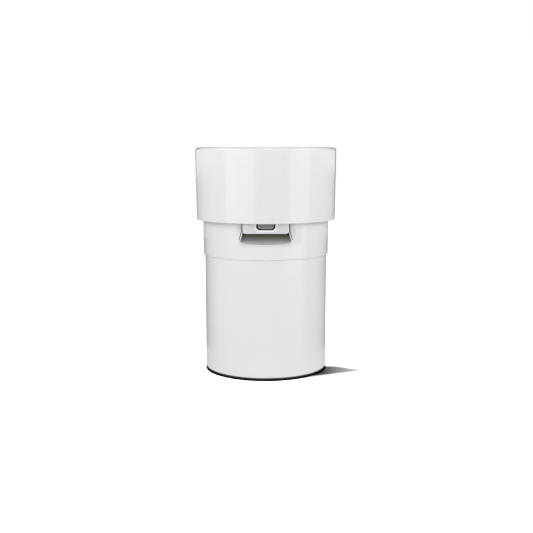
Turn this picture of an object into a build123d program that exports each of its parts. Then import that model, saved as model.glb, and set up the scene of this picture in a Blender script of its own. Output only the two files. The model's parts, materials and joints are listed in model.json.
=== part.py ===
"""A cylindrical air purifier that comes apart for a filter change.

A slim canister holds a pleated cartridge. A collar with a front finger scoop sits on the canister,
and a wide drum, which carries the fan, the motor and the controls, stands on the collar. Room air
enters the gap under the drum's skirt, goes through slots round the collar into the space round the
cartridge, inwards through it, up its core into the fan, and out through the grille on top. A sprung
latch strap hangs from the drum into the scoop. Its window catches a grey nose, so that the drum
lifts off only while the strap is pulled out.

Frame: millimetres, +Z up, origin at the middle of the underside, front towards -Y.
"""

from build123d import *
from math import cos, radians, sin
import os

os.makedirs("parts", exist_ok=True)

# ---------------------------------------------------------------- driving dimensions

# drum, the lift-off head
HEAD_TOP_Z = 341.1
HEAD_BOTTOM_Z = 231.9
HEAD_TOP_R = 108.0
HEAD_BOTTOM_R = 106.3
HEAD_WALL = 2.8
HEAD_EDGE_R = 4.3
WELL_R = 98.0
LEDGE_Z = 331.0
LEDGE_INNER_R = 93.0
LEDGE_BOTTOM_Z = 328.4

# collar
NECK_BOTTOM_Z = 178.3
NECK_BOTTOM_R = 96.1
NECK_RIM_Z = 249.8
NECK_RIM_R = 96.85
NECK_RIM_INNER_R = 92.0
NECK_RIM_THICK = 3.0
NECK_INNER_R = 94.0
SLOT_BOTTOM_Z = 235.0
SLOT_TOP_Z = 245.0
SLOT_WIDTH = 5.0
SLOT_COUNT = 54
SLOT_PITCH_DEG = 5.625

# canister and what is under it
CAN_R = 93.9
CAN_INNER_R = 91.3
CAN_BOTTOM_Z = 2.4
LIP_R = 93.3
LIP_TOP_Z = 192.0
BASE_TOP_Z = 5.2
SHELF_TOP_Z = 7.8
SHELF_INNER_R = 79.0
BASE_SCREW_R = 83.5
BASE_SCREW_COUNT = 4
FOOT_OUTER_R = 92.4
FOOT_INNER_R = 88.0
FOOT_TONGUE_R = 89.9

# filter cartridge
FILTER_R = 77.0
FILTER_BOTTOM_Z = 8.2
FILTER_TOP_Z = 246.8
CAP_THICK = 3.0
CAP_LIP = 4.3
CORE_R = 42.0
CAGE_INNER_R = 43.5
CAGE_OUTER_R = 45.1
CARBON_OUTER_R = 48.4
PLEAT_INNER_R = 48.8
PLEAT_OUTER_R = 72.4
PLEAT_COUNT = 60
PLEAT_SHEET = 7.0
OUTER_CAGE_R = 75.4
GASKET_TOP_Z = 250.4

# deck and fan
DECK_BOTTOM_Z = 250.6
DECK_TOP_Z = 253.0
DECK_R = 103.5
DECK_SCREW_R = 100.4
DECK_SCREW_COUNT = 4
DECK_SCREW_START = 45
THROAT_R = 44.0
THROAT_TOP_Z = 262.0
IMPELLER_R = 72.0
IMPELLER_TOP_Z = 300.0
HUB_R = 31.3
HUB_BOTTOM_Z = 266.0
HUB_FLOOR_Z = 270.0
HUB_NOSE_R = 7.3
BLADE_COUNT = 11
HOUSING_INNER_R = 88.5
HOUSING_WALL = 2.0
HUB_RING_R = 40.0
STATOR_BOTTOM_Z = 304.5
STATOR_TOP_Z = 319.0
STATOR_VANE_COUNT = 9
VANE_BAND_INNER_R = 86.8

# motor
SHAFT_R = 2.5
SHAFT_FIT = 0.03
BEARING_R = 8.0
BEARING_HEIGHT = 5.0
TUBE_R = 9.9
TUBE_BOTTOM_Z = 276.5
UPPER_BEARING_Z = 294.0
ROTOR_R = 28.8
MAGNET_OUTER_R = 27.3
MAGNET_INNER_R = 24.4
STACK_R = 23.6
STACK_BOTTOM_Z = 277.0
STACK_TOP_Z = 289.0
TOOTH_COUNT = 9
TOOTH_WIDTH = 4.4
MOTOR_SCREW_R = 24.0

# grille and controls
GRILLE_VANE_COUNT = 60
GRILLE_TOP_Z = 335.4
GRILLE_HUB_R = 41.2
PANEL_BOTTOM_Z = 336.0
PANEL_TOP_Z = 338.4
BOARD_BOTTOM_Z = 324.0
BOARD_TOP_Z = 325.6
BOARD_R = 39.6
BOARD_SCREW_R = 33.0
BUTTON_TOP_Z = 339.2
BUTTON_STEM_Z = 328.7
SIDE_BUTTON_X = 23.0
POWER_BUTTON_R = 7.0
SIDE_BUTTON_R = 5.5
BUTTON_GAP = 0.3
LIGHT_RING_R = 13.0
LIGHT_RING_WIDTH = 1.6
LIGHT_RING_Z = 337.4

# latch and finger scoop
PLATE_HALF_WIDTH = 33.5
PLATE_BOTTOM_Z = 217.0
PLATE_FRONT_Y = -95.8
PLATE_THICK = 2.5
PLATE_TOP_Z = 241.5
WINDOW_HALF_WIDTH = 14.0
WINDOW_BOTTOM_Z = 222.2
WINDOW_TOP_Z = 236.5
WINDOW_CORNER = 3.7
PIN_Y = -94.4
PIN_Z = 244.5
PIN_R = 1.5
PIN_HALF_LENGTH = 37.0
KNUCKLE_R = 2.6
LUG_INNER_X = 34.6
LUG_THICK = 2.4
OPENING_HALF_WIDTH = 35.3
OPENING_STEP_Z = 232.6
POCKET_HALF_WIDTH = 38.2
POCKET_BACK_Y = -82.0
LINER_WALL = 1.6
SCOOP_FRONT_Y = -96.35
SCOOP_BOTTOM_Z = 201.3
SCOOP_TOP_Z = 219.0
SCOOP_TOP_HALF_WIDTH = 33.4
SCOOP_LEAN = 0.28
CHEEK_BOTTOM_Z = 207.0
CHEEK_THICK = 1.6
CHEEK_PROUD = 0.4
GROOVE_WIDTH = 1.2
LIP_ROUND = 1.6
FLARE_OUTER_X = 42.5
FLARE_DEPTH = 1.7
NOSE_HALF_WIDTH = 11.6
NOSE_BOTTOM_Z = 223.9
NOSE_FRONT_Y = -95.2
CATCH_SCREW_PLACES = [(-8, 233), (8, 233)]
LEAF_THICK = 0.5
SPRING_SCREW_Y = -99.8

# rear power socket
SOCKET_Z = 258.5
SOCKET_NOSE_R = 5.2


# ---------------------------------------------------------------- shared shapes

def section(*points):
    """Closed outline through (radius, height) points, ready to be turned about the Z axis."""
    with BuildSketch(Plane.XZ) as outline:
        with BuildLine():
            Polyline(*points, close=True)
        make_face()
    return outline.sketch


def ring(outer_r, inner_r, bottom_z, top_z, mode=Mode.ADD):
    """Square-edged ring about the Z axis."""
    with BuildSketch(Plane.XY.offset(bottom_z)) as outline:
        Circle(outer_r)
        Circle(inner_r, mode=Mode.SUBTRACT)
    extrude(outline.sketch, amount=top_z - bottom_z, mode=mode)


def disc(radius, bottom_z, top_z, mode=Mode.ADD):
    """Flat round plate about the Z axis."""
    with BuildSketch(Plane.XY.offset(bottom_z)) as outline:
        Circle(radius)
    extrude(outline.sketch, amount=top_z - bottom_z, mode=mode)


def posts(radius, circle_r, count, bottom_z, top_z, start=0.0, mode=Mode.ADD):
    """Upright round posts, or holes, spaced evenly on a circle about the Z axis."""
    with BuildSketch(Plane.XY.offset(bottom_z)) as outline:
        with PolarLocations(circle_r, count, start_angle=start):
            Circle(radius)
    extrude(outline.sketch, amount=top_z - bottom_z, mode=mode)


def block(x_range, y_range, z_range, mode=Mode.ADD):
    """Square-edged block between two corners."""
    with BuildSketch(Plane.XY.offset(z_range[0])) as outline:
        with Locations(((x_range[0] + x_range[1]) / 2, (y_range[0] + y_range[1]) / 2)):
            Rectangle(x_range[1] - x_range[0], y_range[1] - y_range[0])
    extrude(outline.sketch, amount=z_range[1] - z_range[0], mode=mode)


def side_view(half_width, *points, mode=Mode.ADD):
    """A (y, z) outline pulled out to half_width on both sides of the middle plane."""
    with BuildSketch(Plane.YZ) as outline:
        with BuildLine():
            Polyline(*points, close=True)
        make_face()
    extrude(outline.sketch, amount=half_width, both=True, mode=mode)


def curved_vane(inner_r, outer_r, sweep_deg, bow, width):
    """Plan of one vane that leaves inner_r on the X axis and reaches outer_r after sweep_deg."""
    middle_r = (inner_r + outer_r) / 2
    middle = radians(sweep_deg / 2 - bow)
    end = radians(sweep_deg)
    with BuildSketch() as plan:
        with BuildLine():
            ThreePointArc(
                (inner_r, 0),
                (middle_r * cos(middle), middle_r * sin(middle)),
                (outer_r * cos(end), outer_r * sin(end)),
            )
        trace(line_width=width)
    return plan.sketch


def vanes(plan, count, bottom_z, top_z):
    """The same vane repeated evenly about the Z axis."""
    with BuildSketch(Plane.XY.offset(bottom_z)) as outline:
        with PolarLocations(0, count):
            add(plan)
    extrude(outline.sketch, amount=top_z - bottom_z)


def scoop_half_width(z):
    """Half the width of the scoop at a height: it widens downwards."""
    return SCOOP_TOP_HALF_WIDTH + SCOOP_LEAN * (SCOOP_TOP_Z - z)


def cheek_strip(inner, outer):
    """Leaning strip beside the scoop, from `inner` to `outer` outside its side, seen from the front."""
    with BuildSketch(Plane.XZ) as outline:
        with BuildLine():
            Polyline(
                (scoop_half_width(CHEEK_BOTTOM_Z) + inner, CHEEK_BOTTOM_Z),
                (scoop_half_width(CHEEK_BOTTOM_Z) + outer, CHEEK_BOTTOM_Z),
                (scoop_half_width(SCOOP_TOP_Z) + outer, SCOOP_TOP_Z),
                (scoop_half_width(SCOOP_TOP_Z) + inner, SCOOP_TOP_Z),
                close=True,
            )
        make_face()
        mirror(about=Plane.YZ)
    return outline.sketch


# ---------------------------------------------------------------- canister

with BuildPart() as canister_shell:
    revolve(section(
        (CAN_R, CAN_BOTTOM_Z),
        (CAN_R, NECK_BOTTOM_Z),
        (LIP_R, NECK_BOTTOM_Z),
        (LIP_R, LIP_TOP_Z),
        (CAN_INNER_R, LIP_TOP_Z),
        (CAN_INNER_R, SHELF_TOP_Z),
        (SHELF_INNER_R, SHELF_TOP_Z),
        (SHELF_INNER_R, BASE_TOP_Z),
        (CAN_INNER_R, BASE_TOP_Z),
        (CAN_INNER_R, CAN_BOTTOM_Z),
    ))
    bottom_edges = canister_shell.edges().filter_by(GeomType.CIRCLE).group_by(Axis.Z)[0]
    fillet(bottom_edges.sort_by(SortBy.RADIUS)[-1], radius=1.8)
    posts(3.8, BASE_SCREW_R, BASE_SCREW_COUNT, SHELF_TOP_Z, 16.0, start=45)
    posts(1.5, BASE_SCREW_R, BASE_SCREW_COUNT, BASE_TOP_Z, 14.0, start=45, mode=Mode.SUBTRACT)
canister_shell.part.label = "canister_shell"
export_step(canister_shell.part, "parts/canister_shell.step")

with BuildPart() as base_plate:
    disc(CAN_INNER_R - 0.2, CAN_BOTTOM_Z, BASE_TOP_Z)
    ring(FOOT_TONGUE_R + 0.7, FOOT_TONGUE_R - 0.7, CAN_BOTTOM_Z, 3.8, mode=Mode.SUBTRACT)
    posts(3.4, BASE_SCREW_R, BASE_SCREW_COUNT, CAN_BOTTOM_Z, 4.0, start=45, mode=Mode.SUBTRACT)
    posts(1.6, BASE_SCREW_R, BASE_SCREW_COUNT, 4.0, BASE_TOP_Z, start=45, mode=Mode.SUBTRACT)
    with BuildSketch(Plane.XY.offset(CAN_BOTTOM_Z)):
        Circle(76)
        Circle(22, mode=Mode.SUBTRACT)
        with PolarLocations(50, 8):
            Rectangle(60, 3, mode=Mode.SUBTRACT)
    extrude(amount=1.2, mode=Mode.SUBTRACT)
base_plate.part.label = "base_plate"
export_step(base_plate.part, "parts/base_plate.step")

with BuildPart() as base_screws:
    posts(3.0, BASE_SCREW_R, BASE_SCREW_COUNT, 2.6, 4.0, start=45)
    posts(1.5, BASE_SCREW_R, BASE_SCREW_COUNT, 4.0, 13.0, start=45)
base_screws.part.label = "base_screws"
export_step(base_screws.part, "parts/base_screws.step")

with BuildPart() as foot_ring:
    revolve(section(
        (FOOT_INNER_R + 0.6, 0),
        (FOOT_OUTER_R - 0.6, 0),
        (FOOT_OUTER_R, 0.6),
        (FOOT_OUTER_R, CAN_BOTTOM_Z),
        (FOOT_TONGUE_R + 0.7, CAN_BOTTOM_Z),
        (FOOT_TONGUE_R + 0.7, 3.8),
        (FOOT_TONGUE_R - 0.7, 3.8),
        (FOOT_TONGUE_R - 0.7, CAN_BOTTOM_Z),
        (FOOT_INNER_R, CAN_BOTTOM_Z),
        (FOOT_INNER_R, 0.6),
    ))
foot_ring.part.label = "foot_ring"
export_step(foot_ring.part, "parts/foot_ring.step")

with BuildPart() as filter_seat:
    ring(SHELF_INNER_R - 0.3, 64.0, BASE_TOP_Z, FILTER_BOTTOM_Z)
    disc(26.0, BASE_TOP_Z, FILTER_BOTTOM_Z)
    with BuildSketch(Plane.XY.offset(BASE_TOP_Z)):
        with PolarLocations(45, 6):
            Rectangle(44, 6)
    extrude(amount=FILTER_BOTTOM_Z - BASE_TOP_Z)
    disc(18.2, FILTER_BOTTOM_Z, 10.0)
filter_seat.part.label = "filter_seat"
export_step(filter_seat.part, "parts/filter_seat.step")

# ---------------------------------------------------------------- scoop space, cut from collar and liner

# A quarter-round bowl: level where it leaves the collar's face, upright at the back.
SCOOP_R = POCKET_BACK_Y - SCOOP_FRONT_Y
SCOOP_AXIS_Z = SCOOP_BOTTOM_Z + SCOOP_R

with BuildPart() as scoop_space:
    with BuildSketch(Plane.YZ) as bowl:
        with BuildLine():
            Polyline(
                (POCKET_BACK_Y, SCOOP_AXIS_Z),
                (POCKET_BACK_Y, SCOOP_TOP_Z),
                (-110, SCOOP_TOP_Z),
                (-110, SCOOP_BOTTOM_Z),
                (SCOOP_FRONT_Y, SCOOP_BOTTOM_Z),
            )
            CenterArc((SCOOP_FRONT_Y, SCOOP_AXIS_Z), SCOOP_R, -90, 90)
        make_face()
    extrude(amount=50, both=True)
    with BuildSketch(Plane.XZ) as front_outline:
        with BuildLine():
            Polyline(
                (-scoop_half_width(SCOOP_BOTTOM_Z), SCOOP_BOTTOM_Z),
                (scoop_half_width(SCOOP_BOTTOM_Z), SCOOP_BOTTOM_Z),
                (SCOOP_TOP_HALF_WIDTH, SCOOP_TOP_Z),
                (-SCOOP_TOP_HALF_WIDTH, SCOOP_TOP_Z),
                close=True,
            )
        make_face()
    extrude(amount=120, mode=Mode.INTERSECT)

# ---------------------------------------------------------------- collar

with BuildPart() as cheeks:
    extrude(cheek_strip(0, CHEEK_THICK), amount=120)
    with BuildSketch(Plane.XY.offset(CHEEK_BOTTOM_Z)):
        Circle(NECK_BOTTOM_R + CHEEK_PROUD)
        Circle(NECK_INNER_R, mode=Mode.SUBTRACT)
        with Locations((0, -100)):
            Rectangle(100, 60, mode=Mode.INTERSECT)
    extrude(amount=SCOOP_TOP_Z - CHEEK_BOTTOM_Z, mode=Mode.INTERSECT)

with BuildPart() as flares:
    low = (OPENING_HALF_WIDTH, -(NECK_BOTTOM_R**2 - OPENING_HALF_WIDTH**2) ** 0.5, SCOOP_TOP_Z)
    high = (FLARE_OUTER_X, -(NECK_RIM_R**2 - FLARE_OUTER_X**2) ** 0.5, 234.0)
    deep = (low[0], low[1] + FLARE_DEPTH, 234.0)
    slope = (Vector(*high) - Vector(*low)).cross(Vector(*deep) - Vector(*low)).normalized()
    with Locations(Plane(origin=low, z_dir=slope if slope.Y < 0 else -slope)):
        Box(80, 80, 12, align=(Align.CENTER, Align.CENTER, Align.MIN))
    block((OPENING_HALF_WIDTH - 1, 50), (-110, -70), (SCOOP_TOP_Z, 236), mode=Mode.INTERSECT)
    mirror(about=Plane.YZ)

with BuildPart() as neck_ring:
    revolve(section(
        (NECK_BOTTOM_R, NECK_BOTTOM_Z),
        (NECK_RIM_R, NECK_RIM_Z),
        (NECK_RIM_INNER_R, NECK_RIM_Z),
        (NECK_RIM_INNER_R, NECK_RIM_Z - NECK_RIM_THICK),
        (NECK_INNER_R, NECK_RIM_Z - NECK_RIM_THICK),
        (NECK_INNER_R, LIP_TOP_Z),
        (LIP_R, LIP_TOP_Z),
        (LIP_R, NECK_BOTTOM_Z),
    ))
    bottom_edges = neck_ring.edges().filter_by(GeomType.CIRCLE).group_by(Axis.Z)[0]
    fillet(bottom_edges.sort_by(SortBy.RADIUS)[-1], radius=0.8)
    first_slot = -90 + (360 - (SLOT_COUNT - 1) * SLOT_PITCH_DEG) / 2
    with Locations((0, 0, (SLOT_BOTTOM_Z + SLOT_TOP_Z) / 2)):
        with PolarLocations(
            NECK_INNER_R,
            SLOT_COUNT,
            start_angle=first_slot,
            angular_range=(SLOT_COUNT - 1) * SLOT_PITCH_DEG,
            endpoint=True,
        ):
            Box(12, SLOT_WIDTH, SLOT_TOP_Z - SLOT_BOTTOM_Z, mode=Mode.SUBTRACT)
    add(scoop_space.part, mode=Mode.SUBTRACT)
    opening = (-OPENING_HALF_WIDTH, OPENING_HALF_WIDTH)
    block(opening, (-110, POCKET_BACK_Y), (SCOOP_TOP_Z, OPENING_STEP_Z), mode=Mode.SUBTRACT)
    pocket = (-POCKET_HALF_WIDTH, POCKET_HALF_WIDTH)
    block(pocket, (-110, POCKET_BACK_Y), (OPENING_STEP_Z, NECK_RIM_Z), mode=Mode.SUBTRACT)
    lip = neck_ring.edges().filter_by_position(Axis.Z, SCOOP_BOTTOM_Z - 0.3, SCOOP_BOTTOM_Z + 4)
    lip = lip.filter_by_position(Axis.Y, -NECK_RIM_R, -90).sort_by(SortBy.LENGTH)
    fillet(lip[-1], radius=LIP_ROUND)
    add(flares.part, mode=Mode.SUBTRACT)
    extrude(cheek_strip(-0.1, CHEEK_THICK + GROOVE_WIDTH), amount=120, mode=Mode.SUBTRACT)
    add(cheeks.part)
neck_ring.part.label = "neck_ring"
export_step(neck_ring.part, "parts/neck_ring.step")

with BuildPart() as scoop_liner:
    liner_back = POCKET_BACK_Y + LINER_WALL
    with BuildSketch(Plane.YZ):
        with BuildLine():
            Polyline(
                (liner_back, SCOOP_AXIS_Z),
                (liner_back, NECK_RIM_Z - NECK_RIM_THICK),
                (-100, NECK_RIM_Z - NECK_RIM_THICK),
                (-100, SCOOP_BOTTOM_Z - LINER_WALL),
                (SCOOP_FRONT_Y, SCOOP_BOTTOM_Z - LINER_WALL),
            )
            CenterArc((SCOOP_FRONT_Y, SCOOP_AXIS_Z), SCOOP_R + LINER_WALL, -90, 90)
        make_face()
    extrude(amount=POCKET_HALF_WIDTH + LINER_WALL, both=True)
    disc(NECK_INNER_R, 190, 260, mode=Mode.INTERSECT)
    add(scoop_space.part, mode=Mode.SUBTRACT)
    block(pocket, (-110, POCKET_BACK_Y), (SCOOP_TOP_Z, NECK_RIM_Z), mode=Mode.SUBTRACT)
    with BuildSketch(Plane.XZ.offset(-liner_back)):
        with Locations(*CATCH_SCREW_PLACES):
            Circle(1.3)
    extrude(amount=LINER_WALL, mode=Mode.SUBTRACT)
scoop_liner.part.label = "scoop_liner"
export_step(scoop_liner.part, "parts/scoop_liner.step")

with BuildPart() as latch_catch:
    with BuildSketch(Plane.XZ.offset(-POCKET_BACK_Y)):
        with Locations((0, 232)):
            RectangleRounded(36, 20, 3)
    extrude(amount=2)
    side_view(
        NOSE_HALF_WIDTH,
        (POCKET_BACK_Y - 1, NOSE_BOTTOM_Z),
        (NOSE_FRONT_Y, NOSE_BOTTOM_Z),
        (NOSE_FRONT_Y, 231.5),
        (POCKET_BACK_Y - 1, 240.0),
    )
    nose_edges = latch_catch.edges().filter_by(Axis.Y).filter_by_position(
        Axis.Z, NOSE_BOTTOM_Z - 0.1, NOSE_BOTTOM_Z + 0.1
    )
    chamfer(nose_edges, length=2.8)
    with BuildSketch(Plane.XZ.offset(-POCKET_BACK_Y)):
        with Locations(*CATCH_SCREW_PLACES):
            Circle(1.2)
    extrude(amount=8, mode=Mode.SUBTRACT)
latch_catch.part.label = "latch_catch"
export_step(latch_catch.part, "parts/latch_catch.step")

with BuildPart() as catch_screws:
    with BuildSketch(Plane.XZ.offset(-liner_back)):
        with Locations(*CATCH_SCREW_PLACES):
            Circle(2.4)
    extrude(amount=-1.3)
    with BuildSketch(Plane.XZ.offset(-liner_back)):
        with Locations(*CATCH_SCREW_PLACES):
            Circle(1.2)
    extrude(amount=8)
catch_screws.part.label = "catch_screws"
export_step(catch_screws.part, "parts/catch_screws.step")

# ---------------------------------------------------------------- filter cartridge

PLEAT_BOTTOM_Z = FILTER_BOTTOM_Z + CAP_THICK
PLEAT_TOP_Z = FILTER_TOP_Z - CAP_THICK

with BuildPart() as filter_bottom_cap:
    spigot_top_z = PLEAT_BOTTOM_Z + CAP_LIP
    revolve(section(
        (0, spigot_top_z - CAP_THICK),
        (CORE_R - 4.5, spigot_top_z - CAP_THICK),
        (CORE_R - 3.0, FILTER_BOTTOM_Z),
        (FILTER_R, FILTER_BOTTOM_Z),
        (FILTER_R, spigot_top_z),
        (OUTER_CAGE_R, spigot_top_z),
        (OUTER_CAGE_R, PLEAT_BOTTOM_Z),
        (CAGE_INNER_R, PLEAT_BOTTOM_Z),
        (CAGE_INNER_R, spigot_top_z),
        (0, spigot_top_z),
    ))
filter_bottom_cap.part.label = "filter_bottom_cap"
export_step(filter_bottom_cap.part, "parts/filter_bottom_cap.step")

with BuildPart() as filter_top_cap:
    revolve(section(
        (CORE_R, FILTER_TOP_Z),
        (FILTER_R, FILTER_TOP_Z),
        (FILTER_R, PLEAT_TOP_Z - CAP_LIP),
        (OUTER_CAGE_R, PLEAT_TOP_Z - CAP_LIP),
        (OUTER_CAGE_R, PLEAT_TOP_Z),
        (CAGE_INNER_R, PLEAT_TOP_Z),
        (CAGE_INNER_R, PLEAT_TOP_Z - CAP_LIP),
        (CORE_R, PLEAT_TOP_Z - CAP_LIP),
    ))
filter_top_cap.part.label = "filter_top_cap"
export_step(filter_top_cap.part, "parts/filter_top_cap.step")


def pleat_outline(peak_r, valley_r):
    """Zigzag of straight folds between two circles, one peak and one valley to each pleat."""
    step = 180 / PLEAT_COUNT
    corners = [
        (peak_r if i % 2 == 0 else valley_r, radians(i * step)) for i in range(2 * PLEAT_COUNT)
    ]
    with BuildLine() as fold:
        Polyline(*[(r * cos(a), r * sin(a)) for r, a in corners], close=True)
    return fold.line


with BuildPart() as hepa_pleats:
    with BuildSketch(Plane.XY.offset(PLEAT_BOTTOM_Z)):
        make_face(pleat_outline(PLEAT_OUTER_R, PLEAT_INNER_R + PLEAT_SHEET).edges())
        make_face(
            pleat_outline(PLEAT_OUTER_R - PLEAT_SHEET, PLEAT_INNER_R).edges(), mode=Mode.SUBTRACT
        )
    extrude(amount=PLEAT_TOP_Z - PLEAT_BOTTOM_Z)
hepa_pleats.part.label = "hepa_pleats"
export_step(hepa_pleats.part, "parts/hepa_pleats.step")

with BuildPart() as carbon_sleeve:
    ring(CARBON_OUTER_R, CAGE_OUTER_R, PLEAT_BOTTOM_Z, PLEAT_TOP_Z)
carbon_sleeve.part.label = "carbon_sleeve"
export_step(carbon_sleeve.part, "parts/carbon_sleeve.step")

with BuildPart() as filter_core_cage:
    ring(CAGE_OUTER_R, CAGE_INNER_R, PLEAT_BOTTOM_Z, PLEAT_TOP_Z)
    window_height = 33.0
    for row in range(6):
        with Locations((0, 0, 33.0 + row * 38.0)):
            with PolarLocations(CAGE_INNER_R, 8):
                Box(8, 24, window_height, mode=Mode.SUBTRACT)
filter_core_cage.part.label = "filter_core_cage"
export_step(filter_core_cage.part, "parts/filter_core_cage.step")

with BuildPart() as filter_outer_cage:
    hoop_pitch = (PLEAT_TOP_Z - PLEAT_BOTTOM_Z - 3.0) / 5
    for hoop in range(6):
        hoop_z = PLEAT_BOTTOM_Z + hoop * hoop_pitch
        ring(OUTER_CAGE_R, 73.4, hoop_z, hoop_z + 3.0)
    with BuildSketch(Plane.XY.offset(PLEAT_BOTTOM_Z)):
        with PolarLocations(74.1, 20):
            Rectangle(2.0, 2.4)
    extrude(amount=PLEAT_TOP_Z - PLEAT_BOTTOM_Z)
filter_outer_cage.part.label = "filter_outer_cage"
export_step(filter_outer_cage.part, "parts/filter_outer_cage.step")

with BuildPart() as filter_gasket:
    ring(59.0, 52.0, FILTER_TOP_Z, GASKET_TOP_Z)
filter_gasket.part.label = "filter_gasket"
export_step(filter_gasket.part, "parts/filter_gasket.step")

with BuildPart() as filter_pull_tab:
    with BuildSketch(Plane.YZ.offset(62)):
        with BuildLine():
            Polyline(
                (-26, FILTER_TOP_Z),
                (-14, FILTER_TOP_Z),
                (-8, FILTER_TOP_Z + 2.4),
                (8, FILTER_TOP_Z + 2.4),
                (14, FILTER_TOP_Z),
                (26, FILTER_TOP_Z),
                (26, FILTER_TOP_Z + 1),
                (14.5, FILTER_TOP_Z + 1),
                (8.4, FILTER_TOP_Z + 3.4),
                (-8.4, FILTER_TOP_Z + 3.4),
                (-14.5, FILTER_TOP_Z + 1),
                (-26, FILTER_TOP_Z + 1),
                close=True,
            )
        make_face()
    extrude(amount=9)
filter_pull_tab.part.label = "filter_pull_tab"
export_step(filter_pull_tab.part, "parts/filter_pull_tab.step")

# ---------------------------------------------------------------- head: shell and deck

WELL_BOTTOM_R = WELL_R - 0.6
HEAD_SLOPE = (HEAD_TOP_R - HEAD_BOTTOM_R) / (HEAD_TOP_Z - HEAD_BOTTOM_Z)


def shell_inner_r(z):
    """Radius of the drum's inner wall at a height."""
    return HEAD_BOTTOM_R - HEAD_WALL + HEAD_SLOPE * (z - HEAD_BOTTOM_Z)


with BuildPart() as head_shell:
    land_z = HEAD_TOP_Z - HEAD_WALL
    revolve(section(
        (HEAD_BOTTOM_R, HEAD_BOTTOM_Z),
        (HEAD_TOP_R, HEAD_TOP_Z),
        (WELL_R, HEAD_TOP_Z),
        (WELL_BOTTOM_R, LEDGE_Z),
        (LEDGE_INNER_R, LEDGE_Z),
        (LEDGE_INNER_R, LEDGE_BOTTOM_Z),
        (WELL_R + 2.4, LEDGE_BOTTOM_Z),
        (WELL_R + 2.6, land_z),
        (shell_inner_r(land_z), land_z),
        (shell_inner_r(HEAD_BOTTOM_Z), HEAD_BOTTOM_Z),
    ))
    rims = head_shell.edges().filter_by(GeomType.CIRCLE)
    top_rims = rims.group_by(Axis.Z)[-1].sort_by(SortBy.RADIUS)
    bottom_rims = rims.group_by(Axis.Z)[0].sort_by(SortBy.RADIUS)
    fillet(top_rims[-1], radius=HEAD_EDGE_R)
    fillet(top_rims[0], radius=1.4)
    fillet(bottom_rims[-1], radius=0.8)
    posts(3.4, DECK_SCREW_R, DECK_SCREW_COUNT, DECK_TOP_Z, 288.0, start=DECK_SCREW_START)
    with BuildSketch(Plane.XY.offset(DECK_TOP_Z)):
        with PolarLocations(103, DECK_SCREW_COUNT, start_angle=DECK_SCREW_START):
            Rectangle(4.6, 2.4)
    extrude(amount=35)
    posts(
        1.5, DECK_SCREW_R, DECK_SCREW_COUNT, DECK_TOP_Z, 268.0,
        start=DECK_SCREW_START, mode=Mode.SUBTRACT,
    )
    with BuildSketch(Plane.XZ.offset(-115)):
        with Locations((0, SOCKET_Z)):
            Circle(SOCKET_NOSE_R)
    extrude(amount=14, mode=Mode.SUBTRACT)
head_shell.part.label = "head_shell"
export_step(head_shell.part, "parts/head_shell.step")

with BuildPart() as fan_deck:
    with BuildSketch(Plane.XZ):
        with BuildLine():
            Polyline(
                (THROAT_R, THROAT_TOP_Z - 4),
                (THROAT_R, THROAT_TOP_Z),
                (THROAT_R + 2, THROAT_TOP_Z),
                (THROAT_R + 2, THROAT_TOP_Z - 5),
                (THROAT_R + 8, DECK_TOP_Z),
                (DECK_R, DECK_TOP_Z),
                (DECK_R, DECK_BOTTOM_Z),
                (THROAT_R + 6, DECK_BOTTOM_Z),
            )
            ThreePointArc(
                (THROAT_R + 6, DECK_BOTTOM_Z),
                (THROAT_R + 1.9, DECK_BOTTOM_Z + 3.2),
                (THROAT_R, THROAT_TOP_Z - 4),
            )
        make_face()
    revolve(axis=Axis.Z)
    ring(HOUSING_INNER_R + HOUSING_WALL + 1.7, HOUSING_INNER_R + HOUSING_WALL, DECK_TOP_Z, 255.6)
    posts(
        1.6, DECK_SCREW_R, DECK_SCREW_COUNT, DECK_BOTTOM_Z, DECK_TOP_Z,
        start=DECK_SCREW_START, mode=Mode.SUBTRACT,
    )
    for side in (-1, 1):
        with BuildSketch(Plane.YZ.offset(side * (LUG_INNER_X + LUG_THICK / 2))):
            with Locations((PIN_Y, PIN_Z)):
                Circle(2.2)
            with Locations((PIN_Y, (PIN_Z + DECK_BOTTOM_Z) / 2)):
                Rectangle(4.4, DECK_BOTTOM_Z - PIN_Z)
            with Locations((PIN_Y, PIN_Z)):
                Circle(PIN_R, mode=Mode.SUBTRACT)
        extrude(amount=LUG_THICK / 2, both=True)
    with BuildSketch(Plane.XY.offset(DECK_BOTTOM_Z)):
        with Locations((0, SPRING_SCREW_Y)):
            Circle(0.9)
    extrude(amount=2.0, mode=Mode.SUBTRACT)
fan_deck.part.label = "fan_deck"
export_step(fan_deck.part, "parts/fan_deck.step")

with BuildPart() as deck_screws:
    posts(
        2.6, DECK_SCREW_R, DECK_SCREW_COUNT, DECK_BOTTOM_Z - 1.8, DECK_BOTTOM_Z,
        start=DECK_SCREW_START,
    )
    posts(1.5, DECK_SCREW_R, DECK_SCREW_COUNT, DECK_BOTTOM_Z, 266.0, start=DECK_SCREW_START)
deck_screws.part.label = "deck_screws"
export_step(deck_screws.part, "parts/deck_screws.step")

with BuildPart() as rest_ring:
    ring(95.6, 92.8, NECK_RIM_Z, DECK_BOTTOM_Z)
    block((-41, 41), (-110, -70), (NECK_RIM_Z, DECK_BOTTOM_Z), mode=Mode.SUBTRACT)
rest_ring.part.label = "rest_ring"
export_step(rest_ring.part, "parts/rest_ring.step")

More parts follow.
